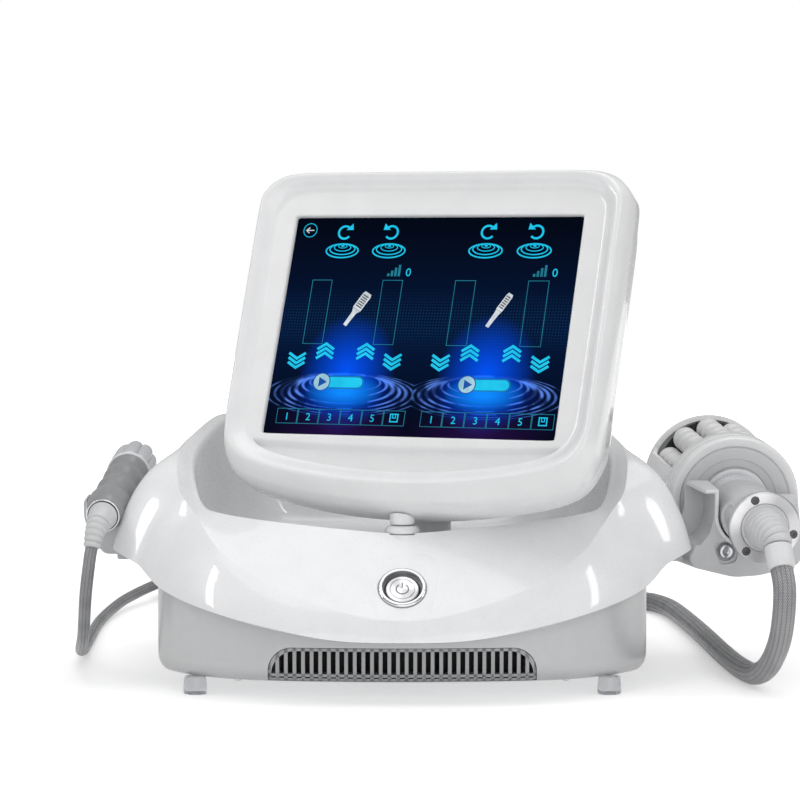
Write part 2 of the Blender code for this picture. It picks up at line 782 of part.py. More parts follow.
handle_low = flange_t + fit_gap
handle_top = handle_low + handle_len
ring_low = handle_top - handle_ring_w
handle_profile = [
    (handle_ring_r, handle_top), (handle_ring_r, ring_low), (handle_r, ring_low),
    (handle_r, handle_low), (handle_r - handle_wall, handle_low),
    (handle_r - handle_wall, handle_top),
]
turned("handle_tube", handle_profile, silver, steps=28, closed=True, parent=body_frame)

dish_low = handle_top + fit_gap
dish_rise = handle_ring_w * 0.8
shaft_r = hub_r * 0.33
shaft_bore = rod("shaft_bore", shaft_r + fit_gap, drum_r * 6, dark, sides=20, group=tools,
                 parent=body_frame, place=(0, carrier_up, 0))
collar_end = dish_low - dish_rise + drum_collar_len
collar_profile = [
    (0, dish_low + disc_t), (drum_r - drum_wall, dish_low + disc_t),
    (drum_r - drum_wall, collar_end), (drum_r, collar_end), (drum_r, dish_low),
    (drum_r * 0.97, dish_low - dish_rise), (drum_face_r, dish_low - dish_rise * 0.6),
    (handle_ring_r, dish_low), (0, dish_low),
]
collar = turned("drum_collar", collar_profile, white, steps=28, parent=body_frame)
boolean(collar, shaft_bore)

ball_pitch = ball_r * 2 * 0.978
near_disc = collar_end
row_low = near_disc + disc_t + fit_gap
row_top = row_low + ball_pitch * ball_count
far_disc = row_top + fit_gap
shroud_low = collar_end + fit_gap
shroud_top = row_top + fit_gap * 2 + drum_rim_w
shroud_profile = [
    (0, shroud_top), (drum_r, shroud_top), (drum_r, shroud_low), (drum_r - drum_wall, shroud_low),
    (drum_r - drum_wall, shroud_top - disc_t), (0, shroud_top - disc_t),
]
shroud = turned("drum_shroud", shroud_profile, white, steps=28, parent=body_frame)
boolean(shroud, shaft_bore)
window_low = drum_r * drum_window_share
window_len = shroud_top - drum_rim_w - shroud_low
window = box("drum_window", (drum_r * 3, drum_r * 1.5, window_len + cut_over), dark, group=tools,
             parent=body_frame, place=(0, window_low + drum_r * 0.75,
                                       shroud_low + (window_len - cut_over) / 2))
boolean(shroud, window)

shaft_low = dish_low - disc_t
carrier_profile = [
    (0, shroud_top - disc_t * 0.2), (shaft_r, shroud_top - disc_t * 0.2),
    (shaft_r, far_disc + disc_t), (disc_r, far_disc + disc_t), (disc_r, far_disc),
    (hub_r, far_disc), (hub_r, near_disc + disc_t), (disc_r, near_disc + disc_t),
    (disc_r, near_disc), (shaft_r, near_disc), (shaft_r, shaft_low), (0, shaft_low),
]
turned("roller_carrier", carrier_profile, dark, steps=20, parent=body_frame,
       place=(0, carrier_up, 0))
motor_top = shaft_low - fit_gap
motor_r = handle_r - handle_wall - carrier_up - fit_gap * 1.5
turned("roller_motor", rod_profile(motor_r, motor_top - motor_len, motor_top), tinned, steps=24,
       parent=body_frame, place=(0, carrier_up, 0))

neck_deg = math.degrees(math.acos(ball_pitch / (2 * ball_r)))
row_profile = [(0, row_top)]
for i in range(ball_count):
    middle = row_top - ball_pitch * (i + 0.5)
    for j in range(4):
        turn = math.radians(neck_deg + (180 - 2 * neck_deg) * j / 3)
        if j < 3 or i == ball_count - 1:
            row_profile.append((ball_r * math.sin(turn), middle + ball_r * math.cos(turn)))
row_profile.append((0, row_low))
for i in range(row_count):
    turn = 2 * math.pi * i / row_count + math.radians(row_phase_deg)
    turned("roller_row_%d" % (i + 1), row_profile, silicone, steps=8, parent=body_frame,
           place=(row_ring_r * math.cos(turn), carrier_up + row_ring_r * math.sin(turn), 0))

# Body strain relief, its collar and the hose, as places from the hose end
body_collar_place = Vector(body_collar_start)
body_collar_run = Vector((0.09, -0.50, -0.86)).normalized()
body_relief_knots = [Vector(knot) for knot in body_relief_route] + [
    body_collar_place - body_collar_run * relief_end_run,
    body_collar_place - body_collar_run * fit_gap * 2.5,
]


def ribbed_relief(name, knots, spacing, first_r, last_r, surface, parent):
    points = smooth_route(knots, spacing)
    radii = []
    for i in range(len(points)):
        along = i / (len(points) - 1)
        rib = 0.90 if i % 2 and 1 < i < len(points) - 3 else 1.0
        radii.append((first_r + (last_r - first_r) * along) / first_r * rib)
    return tube(name, points, first_r, surface, 2, radii, parent=parent)


ribbed_relief("body_strain_relief", body_relief_knots, body_hose_d * 0.14,
              flange_hole_r - fit_gap * 2, body_collar_r * 0.98, pale_rubber, body_lift)
rod("body_hose_collar", body_collar_r, body_collar_len, pale_rubber, sides=24, parent=body_lift,
    place=body_collar_start, turn=axis_turn(body_collar_run, (0, 1, 0)))

# Face roller handpiece, with the same two empties
face_lift = empty("face_handpiece_lift", face_hose_end)
face_frame = empty("face_handpiece_frame", turn=axis_turn(face_axis_run), parent=face_lift)
turned("face_chrome_ring", pipe_profile(grip_bore_r * 0.7, face_ring_r, 0, face_ring_w), chrome,
       steps=24, closed=True, parent=face_frame)
grip_low = face_ring_w + fit_gap
grip_top = grip_low + grip_len
grip_swell_shares = ((0, 0.78), (0.10, 0.93), (0.25, 1.0), (0.37, 0.88), (0.50, 0.99),
                     (0.62, 0.87), (0.76, 1.0), (0.88, 0.90), (1.0, 1.02))
grip_profile = [(grip_r * swell, grip_low + grip_len * along)
                for along, swell in reversed(grip_swell_shares)]
grip_profile += [(grip_bore_r, grip_low), (grip_bore_r, grip_top)]
face_grip = turned("face_grip", grip_profile, grey_rubber, steps=20, closed=True,
                   parent=face_frame)
thumb_floor = grip_r * 0.80
thumb_pocket = rod("thumb_pocket", thumb_r + fit_gap, grip_r, dark, sides=16, group=tools,
                   parent=face_frame, place=(thumb_floor, 0, thumb_place),
                   turn=(0, math.radians(90), 0))
boolean(face_grip, thumb_pocket)
rod("face_thumb_button", thumb_r, thumb_h, dark, sides=16, parent=face_frame,
    place=(thumb_floor + fit_gap * 3, 0, thumb_place), turn=(0, math.radians(90), 0))
neck_low = grip_top + fit_gap
turned("face_neck_ring", pipe_profile(grip_bore_r, grip_r * 1.08, neck_low,
                                      neck_low + face_ring_w), white, steps=24, closed=True,
       parent=face_frame)
face_low = neck_low + face_ring_w + fit_gap
petal_shares = ((0.0, 0.90), (0.10, 1.0), (0.45, 1.0), (0.75, 0.97), (0.92, 0.80), (1.0, 0.50))
petal_rings = []
for along, swell in petal_shares:
    ring = []
    for i in range(barrel_count * 4):
        turn = 2 * math.pi * i / (barrel_count * 4)
        radius = face_head_r * swell * (0.87 + 0.13 * abs(math.cos(turn * barrel_count / 2)))
        ring.append((radius * math.cos(turn), radius * math.sin(turn),
                     face_low + face_head_len * along))
    petal_rings.append(ring)
loft("face_roller", petal_rings, silver, parent=face_frame)

face_collar_end = Vector(face_relief_end)
face_collar_run = Vector((-0.15, -0.28, -0.94)).normalized()
face_relief_knots = [Vector(knot) for knot in face_relief_route] + [
    face_collar_end - face_collar_run * relief_end_run,
    face_collar_end - face_collar_run * relief_end_run * 0.3, face_collar_end,
]
ribbed_relief("face_strain_relief", face_relief_knots, face_hose_d * 0.22, face_ring_r * 0.86,
              face_hose_d * 0.66, pale_rubber, face_lift)

# Holders: cradles on short arms from the chassis sides. Outlines are shares
# of the half width to the side away from the base, then of the drop.
body_cradle_shares = (
    (-0.756, 0.386), (-0.756, 0.0), (-0.805, -0.227), (-0.878, -0.477), (-1.0, -0.705),
    (-0.902, -0.841), (-0.220, -1.0), (0.220, -0.977), (0.854, -0.818), (0.951, -0.636),
    (0.878, -0.227), (0.805, 0.364),
)
face_cradle_shares = (
    (-1.0, 0.111), (-1.0, -0.333), (-0.649, -0.722), (-0.324, -1.0), (0.865, -1.0),
    (0.919, -0.333), (0.973, 0.111),
)


def cradle(name, outline, flare, place, depth, bore_r, open_half, arm, parent_turn, end):
    """A block round a handpiece, open above, joined to its arm."""
    frame = empty(name + "_frame", end, parent_turn)
    near = [(-x, z, place) for x, z in outline]
    far = [(-x * flare, z if z > 0 else z * (1 + (flare - 1) * 0.3), place + depth)
           for x, z in outline]
    block = loft(name, [near, far], holder_grey, parent=frame)
    boolean(block, arm, "UNION")
    bore = rod(name + "_bore", bore_r, depth * 3, dark, sides=32, group=tools, parent=frame,
               place=(0, 0, place - depth))
    mouth = box(name + "_mouth", (open_half * 2, bore_r * 4, depth * 3), dark, group=tools,
                parent=frame, place=(0, bore_r * 2, place + depth * 0.5))
    boolean(block, bore)
    boolean(block, mouth)
    return block


body_arm = box("body_arm", (body_arm_reach, body_arm_w, arm_h), holder_grey, group=tools,
               place=(chassis_w / 2 + fit_gap * 2 + body_arm_reach / 2, body_arm_y,
                      arm_low_z + arm_h / 2))
face_arm = box("face_arm", (face_arm_reach, face_arm_w, arm_h), holder_grey, group=tools,
               place=(-chassis_w / 2 - fit_gap * 2 - face_arm_reach / 2, face_arm_y,
                      arm_low_z + arm_h / 2))
body_cradle = [(x * body_holder_half_w, z * body_holder_drop) for x, z in body_cradle_shares]
body_holder = cradle("body_holder", body_cradle, body_holder_flare, body_holder_place,
                     body_holder_depth, handle_r + holder_clear, handle_r + holder_clear,
                     body_arm, axis_turn(body_axis_run), body_hose_end)
face_cradle = [(x * face_holder_half_w, z * face_holder_drop) for x, z in face_cradle_shares]
cradle("face_holder", face_cradle, 1.0, face_holder_place, face_holder_depth,
       grip_r * 1.02 + holder_clear, grip_r * 1.02 + holder_clear, face_arm,
       axis_turn(face_axis_run), face_hose_end)

bolt_frame = empty("holder_bolt_frame", body_hose_end, axis_turn(body_axis_run))
bolt_well = rod("bolt_well", bolt_r * 1.5, bolt_h * 2, dark, sides=20, group=tools,
                parent=bolt_frame, place=(bolt_side, -bolt_drop, body_holder_place - bolt_h))
boolean(body_holder, bolt_well)
rod("holder_bolt", bolt_r, bolt_h - fit_gap, chrome, sides=20, parent=bolt_frame,
    place=(bolt_side, -bolt_drop, body_holder_place))

# Rear panel over an opening in the chassis, with what the panel carries
body_socket_x = rear_w * body_socket_share
face_socket_x = rear_w * face_socket_share
inlet_x = rear_w * inlet_share
rocker_x = rear_w * rocker_share
fan_x = rear_w * fan_share
rear_wall_y = chassis_d / 2
rear_y = rear_wall_y + wall_t * 0.25
rear_open = box("rear_opening", (rear_w - rear_lap * 2, wall_t * 6, rear_h - rear_lap * 2), dark,
                group=tools, place=(0, rear_wall_y, rear_mid_z))
boolean(base_chassis, rear_open)
rear_panel = box("rear_panel", (rear_w, rear_t, rear_h), tinned,
                 place=(0, rear_y + rear_t / 2, rear_mid_z))


def panel_hole(name, size, x):
    hole = box(name, (size[0] + fit_gap * 2, rear_t * 4, size[1] + fit_gap * 2), dark, group=tools,
               place=(x, rear_y, rear_mid_z))
    boolean(rear_panel, hole)


panel_hole("inlet_hole", (inlet_w, inlet_h), inlet_x)
panel_hole("rocker_hole", (rocker_w, rocker_h + wall_t * 0.3), rocker_x)
fan_hole = rod("fan_hole", fan_bore_r, rear_t * 6, dark, group=tools,
               place=(fan_x, rear_y - rear_t * 3, rear_mid_z), turn=(-math.radians(90), 0, 0))
boolean(rear_panel, fan_hole)

inlet_face = rear_y + rear_t * 1.5
inlet = box("mains_inlet", (inlet_w, inlet_d, inlet_h), dark,
            place=(inlet_x, inlet_face - inlet_d / 2, rear_mid_z))
well_d = inlet_d * 0.7
inlet_well = box("inlet_well", (inlet_w - inlet_wall * 2, well_d * 2, inlet_h - inlet_wall * 2), dark,
                 group=tools, place=(inlet_x, inlet_face, rear_mid_z))
boolean(inlet, inlet_well)
pin_w = inlet_w * 0.05


def inlet_pins(work):
    for x, z in ((-0.26, -0.12), (0, 0.12), (0.26, -0.12)):
        place = Matrix.Translation((x * inlet_w, -well_d * 0.8, z * inlet_h))
        size = Matrix.Diagonal((pin_w, well_d, pin_w * 3, 1))
        bmesh.ops.create_cube(work, size=1.0, matrix=place @ size)


pins = finish(mesh_of("inlet_pins", inlet_pins), steel, group=tools,
              place=(inlet_x, inlet_face, rear_mid_z))
boolean(inlet, pins, "UNION")

rocker_outline = [(-rocker_d, -rocker_h * 0.4), (rocker_out * 1.6, -rocker_h / 2),
                  (rocker_out * 0.6, 0), (rocker_out * 0.6, rocker_h / 2),
                  (-rocker_d, rocker_h * 0.4)]
loft("rocker_switch", [[(-rocker_w / 2, y, z) for y, z in rocker_outline],
                       [(rocker_w / 2, y, z) for y, z in rocker_outline]], dark,
     place=(rocker_x, rear_y + rear_t, rear_mid_z))

fan_front = rear_y - fit_gap
fan_frame = box("fan_frame", (fan_w, fan_d, fan_w), dark,
                place=(fan_x, fan_front - fan_d / 2, rear_mid_z))
fan_strut = fan_d * 0.15
fan_bore = rod("fan_bore", fan_bore_r, fan_d, dark, sides=28, group=tools,
               place=(fan_x, fan_front - fan_d + fan_strut, rear_mid_z),
               turn=(-math.radians(90), 0, 0))
boolean(fan_frame, fan_bore)
for side in (-1, 1):
    slot = box("fan_slot_%d" % (side + 2), (fan_bore_r * 1.2, fan_d, fan_hub_r * 0.9), dark,
               group=tools, place=(fan_x, fan_front - fan_d, rear_mid_z + side * fan_hub_r * 1.5))
    boolean(fan_frame, slot)
fan_turn = (-math.radians(90), 0, 0)
fan_low = fan_front - fan_d + fan_strut + fit_gap
fan_len = fan_d - fan_strut - fit_gap * 2
rotor = rod("fan_rotor", fan_hub_r, fan_len, dark, sides=20, place=(fan_x, fan_low, rear_mid_z),
            turn=fan_turn)


def fan_blades(work):
    reach = fan_bore_r - fit_gap * 2 - fan_hub_r * 0.7
    for i in range(fan_blade_count):
        spin = Matrix.Rotation(2 * math.pi * i / fan_blade_count, 4, "Z")
        out = Matrix.Translation((fan_hub_r * 0.7 + reach / 2, 0, fan_len / 2))
        lean = Matrix.Rotation(math.radians(35), 4, "X")
        size = Matrix.Diagonal((reach, wall_t * 0.4, fan_len * 0.8, 1))
        bmesh.ops.create_cube(work, size=1.0, matrix=spin @ out @ lean @ size)


blades = finish(mesh_of("fan_blades", fan_blades), dark, group=tools,
                place=(fan_x, fan_low, rear_mid_z), turn=fan_turn)
boolean(rotor, blades, "UNION")


def hose_socket(name, radius, hose_r, x):
    profile = [(0, socket_len), (hose_r * 1.15, socket_len), (radius * 0.85, socket_len * 0.6),
               (radius, socket_len * 0.3), (radius, 0), (0, 0)]
    return turned(name, profile, chrome, steps=20, turn=(-math.radians(90), 0, 0),
                  place=(x, rear_y + rear_t + fit_gap, rear_mid_z))


hose_socket("body_hose_socket", socket_r, body_hose_d / 2, body_socket_x)
hose_socket("face_hose_socket", face_socket_r, face_hose_d / 2, face_socket_x)

# Inside: a power supply and a control board on posts, both on the base plate
plate_top = plate_t + fit_gap
box("power_supply", supply_size, tinned, bevel=wall_t * 0.3,
    place=(*supply_place, plate_top + supply_size[2] / 2))
board_low = plate_top + control_stand
control = box("control_board", control_size, board_green,
              place=(*control_place, board_low + control_size[2] / 2))


def board_posts(work):
    for sx in (-1, 1):
        for sy in (-1, 1):
            spot = Matrix.Translation((sx * control_size[0] * 0.44, sy * control_size[1] * 0.42,
                                       (control_stand + control_size[2] * 0.5) / 2))
            bmesh.ops.create_cone(work, cap_ends=True, segments=10, radius1=control_post_r,
                                  radius2=control_post_r, matrix=spot,
                                  depth=control_stand + control_size[2] * 0.5)


posts = finish(mesh_of("board_posts", board_posts), tinned, group=tools,
               place=(*control_place, plate_top))
boolean(control, posts, "UNION")

# Hoses: a free stretch from each handpiece, a coil on the floor behind the
# machine, and a tail up to the rear socket
floor_z = -foot_h
coil_steps = 20


def coil_points(middle, inner_r, diameter, loops):
    """Loops drawn in on the floor, a climb, and loops back out above."""
    step, rise = diameter * 1.25, diameter * 1.12
    total = int((loops * 2 + 0.5) * coil_steps)
    points = []
    for i in range(total + 1):
        run = i / coil_steps
        drawn = min(run, loops) - max(0.0, run - loops - 0.5)
        climb = min(max((run - loops) * 2, 0.0), 1.0)
        radius = inner_r + (loops - drawn) * step
        turn = 2 * math.pi * run
        points.append(Vector((middle[0] + radius * math.cos(turn),
                              middle[1] + radius * math.sin(turn),
                              floor_z + diameter / 2 + rise * climb)))
    return points


def least_gap(points, diameter):
    """The least gap between parts of one tube at least four diameters apart."""
    least = diameter * 100
    run = [0.0]
    for one, two in zip(points, points[1:]):
        run.append(run[-1] + (two - one).length)
    for i in range(len(points)):
        for j in range(i + 1, len(points)):
            if run[j] - run[i] > diameter * 4:
                least = min(least, (points[i] - points[j]).length - diameter)
    return least


def hose(name, diameter, start_knots, coil, tail_knots, parent=None):
    coil_start, coil_end = coil[0], coil[-1]
    into = (coil[1] - coil[0]).normalized()
    out = (coil[-1] - coil[-2]).normalized()
    lead = diameter
    free = start_knots + [coil_start - into * lead * 1.6, coil_start - into * lead * 0.6,
                          coil_start - into * fit_gap * 3]
    free_points = smooth_route(free, diameter * 2.6)
    tube(name + "_free", free_points, diameter / 2, braid, parent=parent)
    tube(name + "_coil", coil, diameter / 2, braid, resolution=1, parent=parent)
    tail = [coil_end + out * fit_gap * 3, coil_end + out * lead * 0.6,
            coil_end + out * lead * 1.3] + tail_knots
    tail_points = smooth_route(tail, diameter * 1.8)
    tube(name + "_tail", tail_points, diameter / 2, braid, parent=parent)
    length = sum((b - a).length for run in (free_points, coil, tail_points)
                 for a, b in zip(run, run[1:]))
    print(name, "length", round(length, 3), "least gap in its coil",
          round(least_gap(coil, diameter), 5))


body_end = Vector(body_hose_end) + body_collar_place
body_end += body_collar_run * (body_collar_len + fit_gap * 2)
body_free_knots = [
    body_end, body_end + body_collar_run * body_hose_d * 0.8,
    Vector((0.2480, -0.1505, 0.0470)), Vector((0.2462, -0.1430, 0.0270)),
    Vector((0.2425, -0.1180, 0.0075)), Vector((0.2380, -0.0850, -0.0027)),
    Vector((0.2320, -0.0480, -0.0038)), Vector((0.2279, 0.0226, -0.0040)),
    Vector((0.2234, 0.1410, -0.0040)), Vector((0.2158, 0.2610, -0.0040)),
    Vector((0.2060, 0.3050, -0.0040)),
]
body_coil_middle = (0.102, 0.345)
body_coil_inner = 0.0755
body_coil = coil_points(body_coil_middle, body_coil_inner, body_hose_d, 1)
socket_end_y = rear_y + rear_t + socket_len + fit_gap * 4
body_tail_knots = [
    Vector((0.0085, 0.2780, 0.0030)), Vector((0.0090, 0.2500, 0.0090)),
    Vector((0.0095, 0.2260, 0.0240)), Vector((0.0100, 0.2060, 0.0330)),
    Vector((body_socket_x, socket_end_y + body_hose_d * 0.9, rear_mid_z)),
    Vector((body_socket_x, socket_end_y + body_hose_d * 0.3, rear_mid_z)),
    Vector((body_socket_x, socket_end_y, rear_mid_z)),
]
hose("body_hose", body_hose_d, body_free_knots, body_coil, body_tail_knots)

face_end = Vector(face_hose_end) + face_collar_end
face_free_knots = [
    face_end + face_collar_run * fit_gap * 3.3, face_end + face_collar_run * face_hose_d * 0.8,
    Vector((-0.2125, -0.0900, 0.0520)), Vector((-0.2180, -0.0560, 0.0200)),
    Vector((-0.2265, 0.0050, 0.0010)), Vector((-0.2310, 0.0650, -0.0062)),
    Vector((-0.2333, 0.1200, -0.0072)), Vector((-0.2362, 0.2200, -0.0072)),
    Vector((-0.2300, 0.3050, -0.0045)), Vector((-0.2190, 0.3480, -0.0010)),
    Vector((-0.2090, 0.3780, 0.0013)),
]
face_coil_middle = (-0.1519, 0.405)
face_coil_inner = 0.0420
face_coil = coil_points(face_coil_middle, face_coil_inner, face_hose_d, 1)
face_coil.reverse()
face_tail_knots = [
    Vector((-0.0960, 0.3600, -0.0070)), Vector((-0.0800, 0.3150, -0.0070)),
    Vector((-0.0600, 0.2720, -0.0066)), Vector((-0.0475, 0.2380, 0.0030)),
    Vector((-0.0415, 0.2090, 0.0300)),
    Vector((face_socket_x, socket_end_y + face_hose_d * 1.1, rear_mid_z)),
    Vector((face_socket_x, socket_end_y + face_hose_d * 0.4, rear_mid_z)),
    Vector((face_socket_x, socket_end_y, rear_mid_z)),
]
hose("face_hose", face_hose_d, face_free_knots, face_coil, face_tail_knots)
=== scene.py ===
# %% [markdown]
# A desktop roller massage machine in Blender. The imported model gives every
# size and place, and this script dresses it: each rigid shell is skinned again
# with many more sections, small repeated things come from Geometry Nodes, and
# every finish is built from shader nodes. Lengths are in metres.
# %% Load the frame
import math

import bpy
import bmesh
from mathutils import Matrix, Vector


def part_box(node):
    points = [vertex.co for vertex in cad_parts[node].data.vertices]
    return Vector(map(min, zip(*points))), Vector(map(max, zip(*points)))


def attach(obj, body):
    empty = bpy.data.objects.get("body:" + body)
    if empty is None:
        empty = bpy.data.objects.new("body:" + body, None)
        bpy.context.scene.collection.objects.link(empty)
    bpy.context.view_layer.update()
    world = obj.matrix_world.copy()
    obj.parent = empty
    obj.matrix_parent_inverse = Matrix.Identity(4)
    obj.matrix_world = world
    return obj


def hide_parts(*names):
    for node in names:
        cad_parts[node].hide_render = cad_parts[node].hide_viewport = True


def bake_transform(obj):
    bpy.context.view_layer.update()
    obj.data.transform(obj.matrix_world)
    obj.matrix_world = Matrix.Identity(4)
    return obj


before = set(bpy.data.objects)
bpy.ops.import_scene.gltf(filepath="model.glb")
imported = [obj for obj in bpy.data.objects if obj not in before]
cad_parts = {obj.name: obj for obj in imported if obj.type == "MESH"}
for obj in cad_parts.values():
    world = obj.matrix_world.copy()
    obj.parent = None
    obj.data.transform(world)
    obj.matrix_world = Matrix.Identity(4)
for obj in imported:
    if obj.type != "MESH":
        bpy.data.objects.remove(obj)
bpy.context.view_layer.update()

# %% [markdown]
# The picture was taken from just above the bench with a long lens. The lens
# and the height come from the four corners of the lit display.
# %% Camera
sensor_mm, lens_mm = 36, 126
eye, tilt_down = (-0.0015, -1.960, 0.282), 3.05
scene = bpy.context.scene
scene.view_settings.view_transform = "Standard"
lens = bpy.data.cameras.new("view")
lens.sensor_width = sensor_mm
lens.lens = lens_mm
camera = bpy.data.objects.new("view", lens)
scene.collection.objects.link(camera)
camera.location = eye
camera.rotation_euler = (math.radians(90 - tilt_down), 0, 0)
scene.camera = camera
print("camera with a", lens_mm, "mm lens")

# %% [markdown]
# The machine's own axes. The head turns on a stub and leans back, the power
# button faces out of the slope, and each handpiece has a frame whose Z runs
# along it from the hose end.
# %% Frames of the parts
fit_gap = 0.0003
floor_z = -0.012
swivel_y = -0.103
head_yaw, head_lean, slope = -22.85, -21.7, 45.555
shift = Matrix.Translation


def along(start, run, up=(0, 0, 1)):
    """A frame at start whose Z is the run and whose Y is near up."""
    z = Vector(run).normalized()
    y = (Vector(up) - z * Vector(up).dot(z)).normalized()
    turn = Matrix((y.cross(z), y, z)).transposed().to_4x4()
    return shift(start) @ turn


def spun(degrees, axis):
    return Matrix.Rotation(math.radians(degrees), 4, axis)


def tipped(place, degrees):
    return shift(place) @ spun(degrees, "X")


neck = shift((0, swivel_y, 0)) @ spun(head_yaw, "Z")
screen = neck @ tipped((0, 0.0358, 0.231), head_lean)
button = tipped((0, -0.14538, 0.06278), slope)
body_end = Vector((0.2406, -0.110, 0.0984))
face_end = Vector((-0.2025, -0.073, 0.103))
body_grip = along(body_end, (-0.0184, 0.205, 0.0191))
face_grip = along(face_end, (0.011, 0.150, 0.030))
back = spun(-90, "X")
print("head turned", -head_yaw, "degrees")

# %% [markdown]
# Every finish is built from shader nodes. A few short calls add the nodes and
# join them, so a finish below reads as the sum that it works out.
# %% Shader node calls
class Nodes:
    """Short calls that add and join shader nodes in one tree."""

    def __init__(self, tree):
        self.tree = tree

    def add(self, kind, **values):
        node = self.tree.nodes.new(("" if kind[:9] == "NodeGroup" else "ShaderNode") + kind)
        for key, value in values.items():
            setattr(node, key, value)
        return node

    def feed(self, socket, value):
        if isinstance(value, bpy.types.NodeSocket):
            self.tree.links.new(value, socket)
        else:
            socket.default_value = value

    def math(self, action, *values):
        node = self.add("Math", operation=action)
        for socket, value in zip(node.inputs, values):
            self.feed(socket, value)
        return node.outputs[0]

    def noise(self, where, scale, detail=3.0):
        node = self.add("TexNoise")
        self.feed(node.inputs["Vector"], where)
        self.feed(node.inputs["Scale"], scale)
        node.inputs["Detail"].default_value = detail
        return node.outputs["Fac"]

    def remap(self, value, low, high, to_low=0.0, to_high=1.0):
        node = self.add("MapRange")
        for socket, number in zip(node.inputs, (value, low, high, to_low, to_high)):
            self.feed(socket, number)
        return node.outputs[0]

    def mix(self, share, one, two, blend="MIX"):
        node = self.add("Mix", data_type="RGBA", blend_type=blend)
        self.feed(node.inputs[0], share)
        self.feed(node.inputs[6], one)
        self.feed(node.inputs[7], two)
        return node.outputs[2]

    def local(self, frame_of):
        """Places in a part's own frame, as a vector and as X, Y and Z."""
        node = self.add("Mapping", vector_type="TEXTURE")
        node.inputs["Location"].default_value = frame_of.to_translation()
        node.inputs["Rotation"].default_value = frame_of.to_euler()
        self.feed(node.inputs["Vector"], self.add("TexCoord").outputs["Object"])
        split = self.add("SeparateXYZ")
        self.feed(split.inputs[0], node.outputs[0])
        return node.outputs[0], split.outputs

    def bump(self, strength, distance, height):
        node = self.add("Bump")
        for label, value in (("Strength", strength), ("Distance", distance), ("Height", height)):
            self.feed(node.inputs[label], value)
        return node


def fresh(name):
    """A new material, its node calls and the inputs of its Principled node."""
    made = bpy.data.materials.new(name)
    made.use_nodes = True
    return made, Nodes(made.node_tree), made.node_tree.nodes["Principled BSDF"].inputs

# %% [markdown]
# Fine grain, faint mottling and a little unevenness in the gloss are what
# keep moulded plastic from looking like a flat fill. One node group makes
# them for every finish, and each material sets its own amounts.
# %% Shared grain group
grain = bpy.data.node_groups.new("surface_grain", "ShaderNodeTree")
for label, low in (("Scale", 200.0), ("Mottle", 0.03), ("Rough", 0.3), ("Rough Spread", 0.1)):
    dial = grain.interface.new_socket(label, in_out="INPUT", socket_type="NodeSocketFloat")
    dial.default_value = low
grain.interface.new_socket("Color", in_out="INPUT", socket_type="NodeSocketColor")
for label, kind in (("Color", "Color"), ("Roughness", "Float"), ("Height", "Float")):
    grain.interface.new_socket(label, in_out="OUTPUT", socket_type="NodeSocket" + kind)
make = Nodes(grain)
given = make.add("NodeGroupInput").outputs
place = make.add("TexCoord").outputs["Object"]
fine = make.noise(place, given["Scale"], 4.0)
broad = make.noise(place, make.math("MULTIPLY", given["Scale"], 0.06), 3.0)
drift = make.remap(broad, 0.3, 0.7, -1.0, 1.0)
shade = make.math("ADD", 1.0, make.math("MULTIPLY", given["Mottle"], drift))
tone = make.add("CombineColor")
for socket in tone.inputs[:3]:
    make.feed(socket, shade)
result = make.add("NodeGroupOutput").inputs
make.feed(result["Color"], make.mix(1.0, given["Color"], tone.outputs[0], "MULTIPLY"))
spread = make.math("MULTIPLY", given["Rough Spread"], make.remap(fine, 0.3, 0.7, -1.0, 1.0))
make.feed(result["Roughness"], make.math("ADD", given["Rough"], spread))
make.feed(result["Height"], fine)
print("grain group", len(grain.nodes), "nodes")

# %% [markdown]
# The plain finishes share one recipe and differ in their amounts. Two turned metals also have a painted
# sheen: lighter and darker sectors round their middle stand in for the light that their turning marks
# catch.
# %% Plain finishes
def finish(name, rgb, rough, metal=0.0, scale=400.0, mottle=0.02, spread=0.05, bump=0.02,
           coat=0.0, glass=0.0):
    """A Principled material whose colour, gloss and relief come from the grain."""
    made, kit, shader = fresh(name)
    node = kit.add("Group", node_tree=grain)
    for label, value in (("Scale", scale), ("Mottle", mottle), ("Rough", rough),
                         ("Rough Spread", spread), ("Color", (*rgb, 1.0))):
        node.inputs[label].default_value = value
    kit.feed(shader["Base Color"], node.outputs["Color"])
    kit.feed(shader["Roughness"], node.outputs["Roughness"])
    kit.feed(shader["Normal"], kit.bump(bump, 0.0002, node.outputs["Height"]).outputs[0])
    for label, value in (("Metallic", metal), ("Coat Weight", coat), ("Coat Roughness", 0.04),
                         ("Transmission Weight", glass)):
        shader[label].default_value = value
    return made


gloss_white = finish("gloss_white_plastic", (0.80, 0.803, 0.81), 0.24, scale=900, coat=0.5)
silver_paint = finish("satin_silver_paint", (0.52, 0.523, 0.53), 0.34, 0.35, scale=2600,
                      mottle=0.015, bump=0.06)
pale_silver = finish("pale_silver_plastic", (0.60, 0.61, 0.63), 0.32, 0.25, scale=1800, bump=0.1)
chrome = finish("polished_chrome", (0.62, 0.63, 0.65), 0.14, 1.0, scale=120, spread=0.01, bump=0.0)
brushed = finish("fine_turned_steel", (0.64, 0.64, 0.65), 0.28, 0.85, scale=700, spread=0.02,
                 bump=0.0)
black_plastic = finish("matt_black_plastic", (0.022, 0.022, 0.025), 0.5, scale=1500, mottle=0.2,
                       bump=0.2)
# Near-black plastic for the roller carrier, also used as painted shade for the sheet behind the vent.
shadow_black = finish("dark_inner_plastic", (0.010, 0.010, 0.012), 0.6, scale=900, mottle=0.2,
                      bump=0.2)
board_green = finish("board_lacquer", (0.02, 0.14, 0.06), 0.35, scale=500, mottle=0.15, coat=0.4)
grip_rubber = finish("grip_rubber", (0.27, 0.272, 0.28), 0.30, scale=2600, mottle=0.05, bump=0.08,
                     coat=0.2)
relief_rubber = finish("relief_rubber", (0.60, 0.603, 0.61), 0.42, scale=1700, mottle=0.03,
                       bump=0.08)
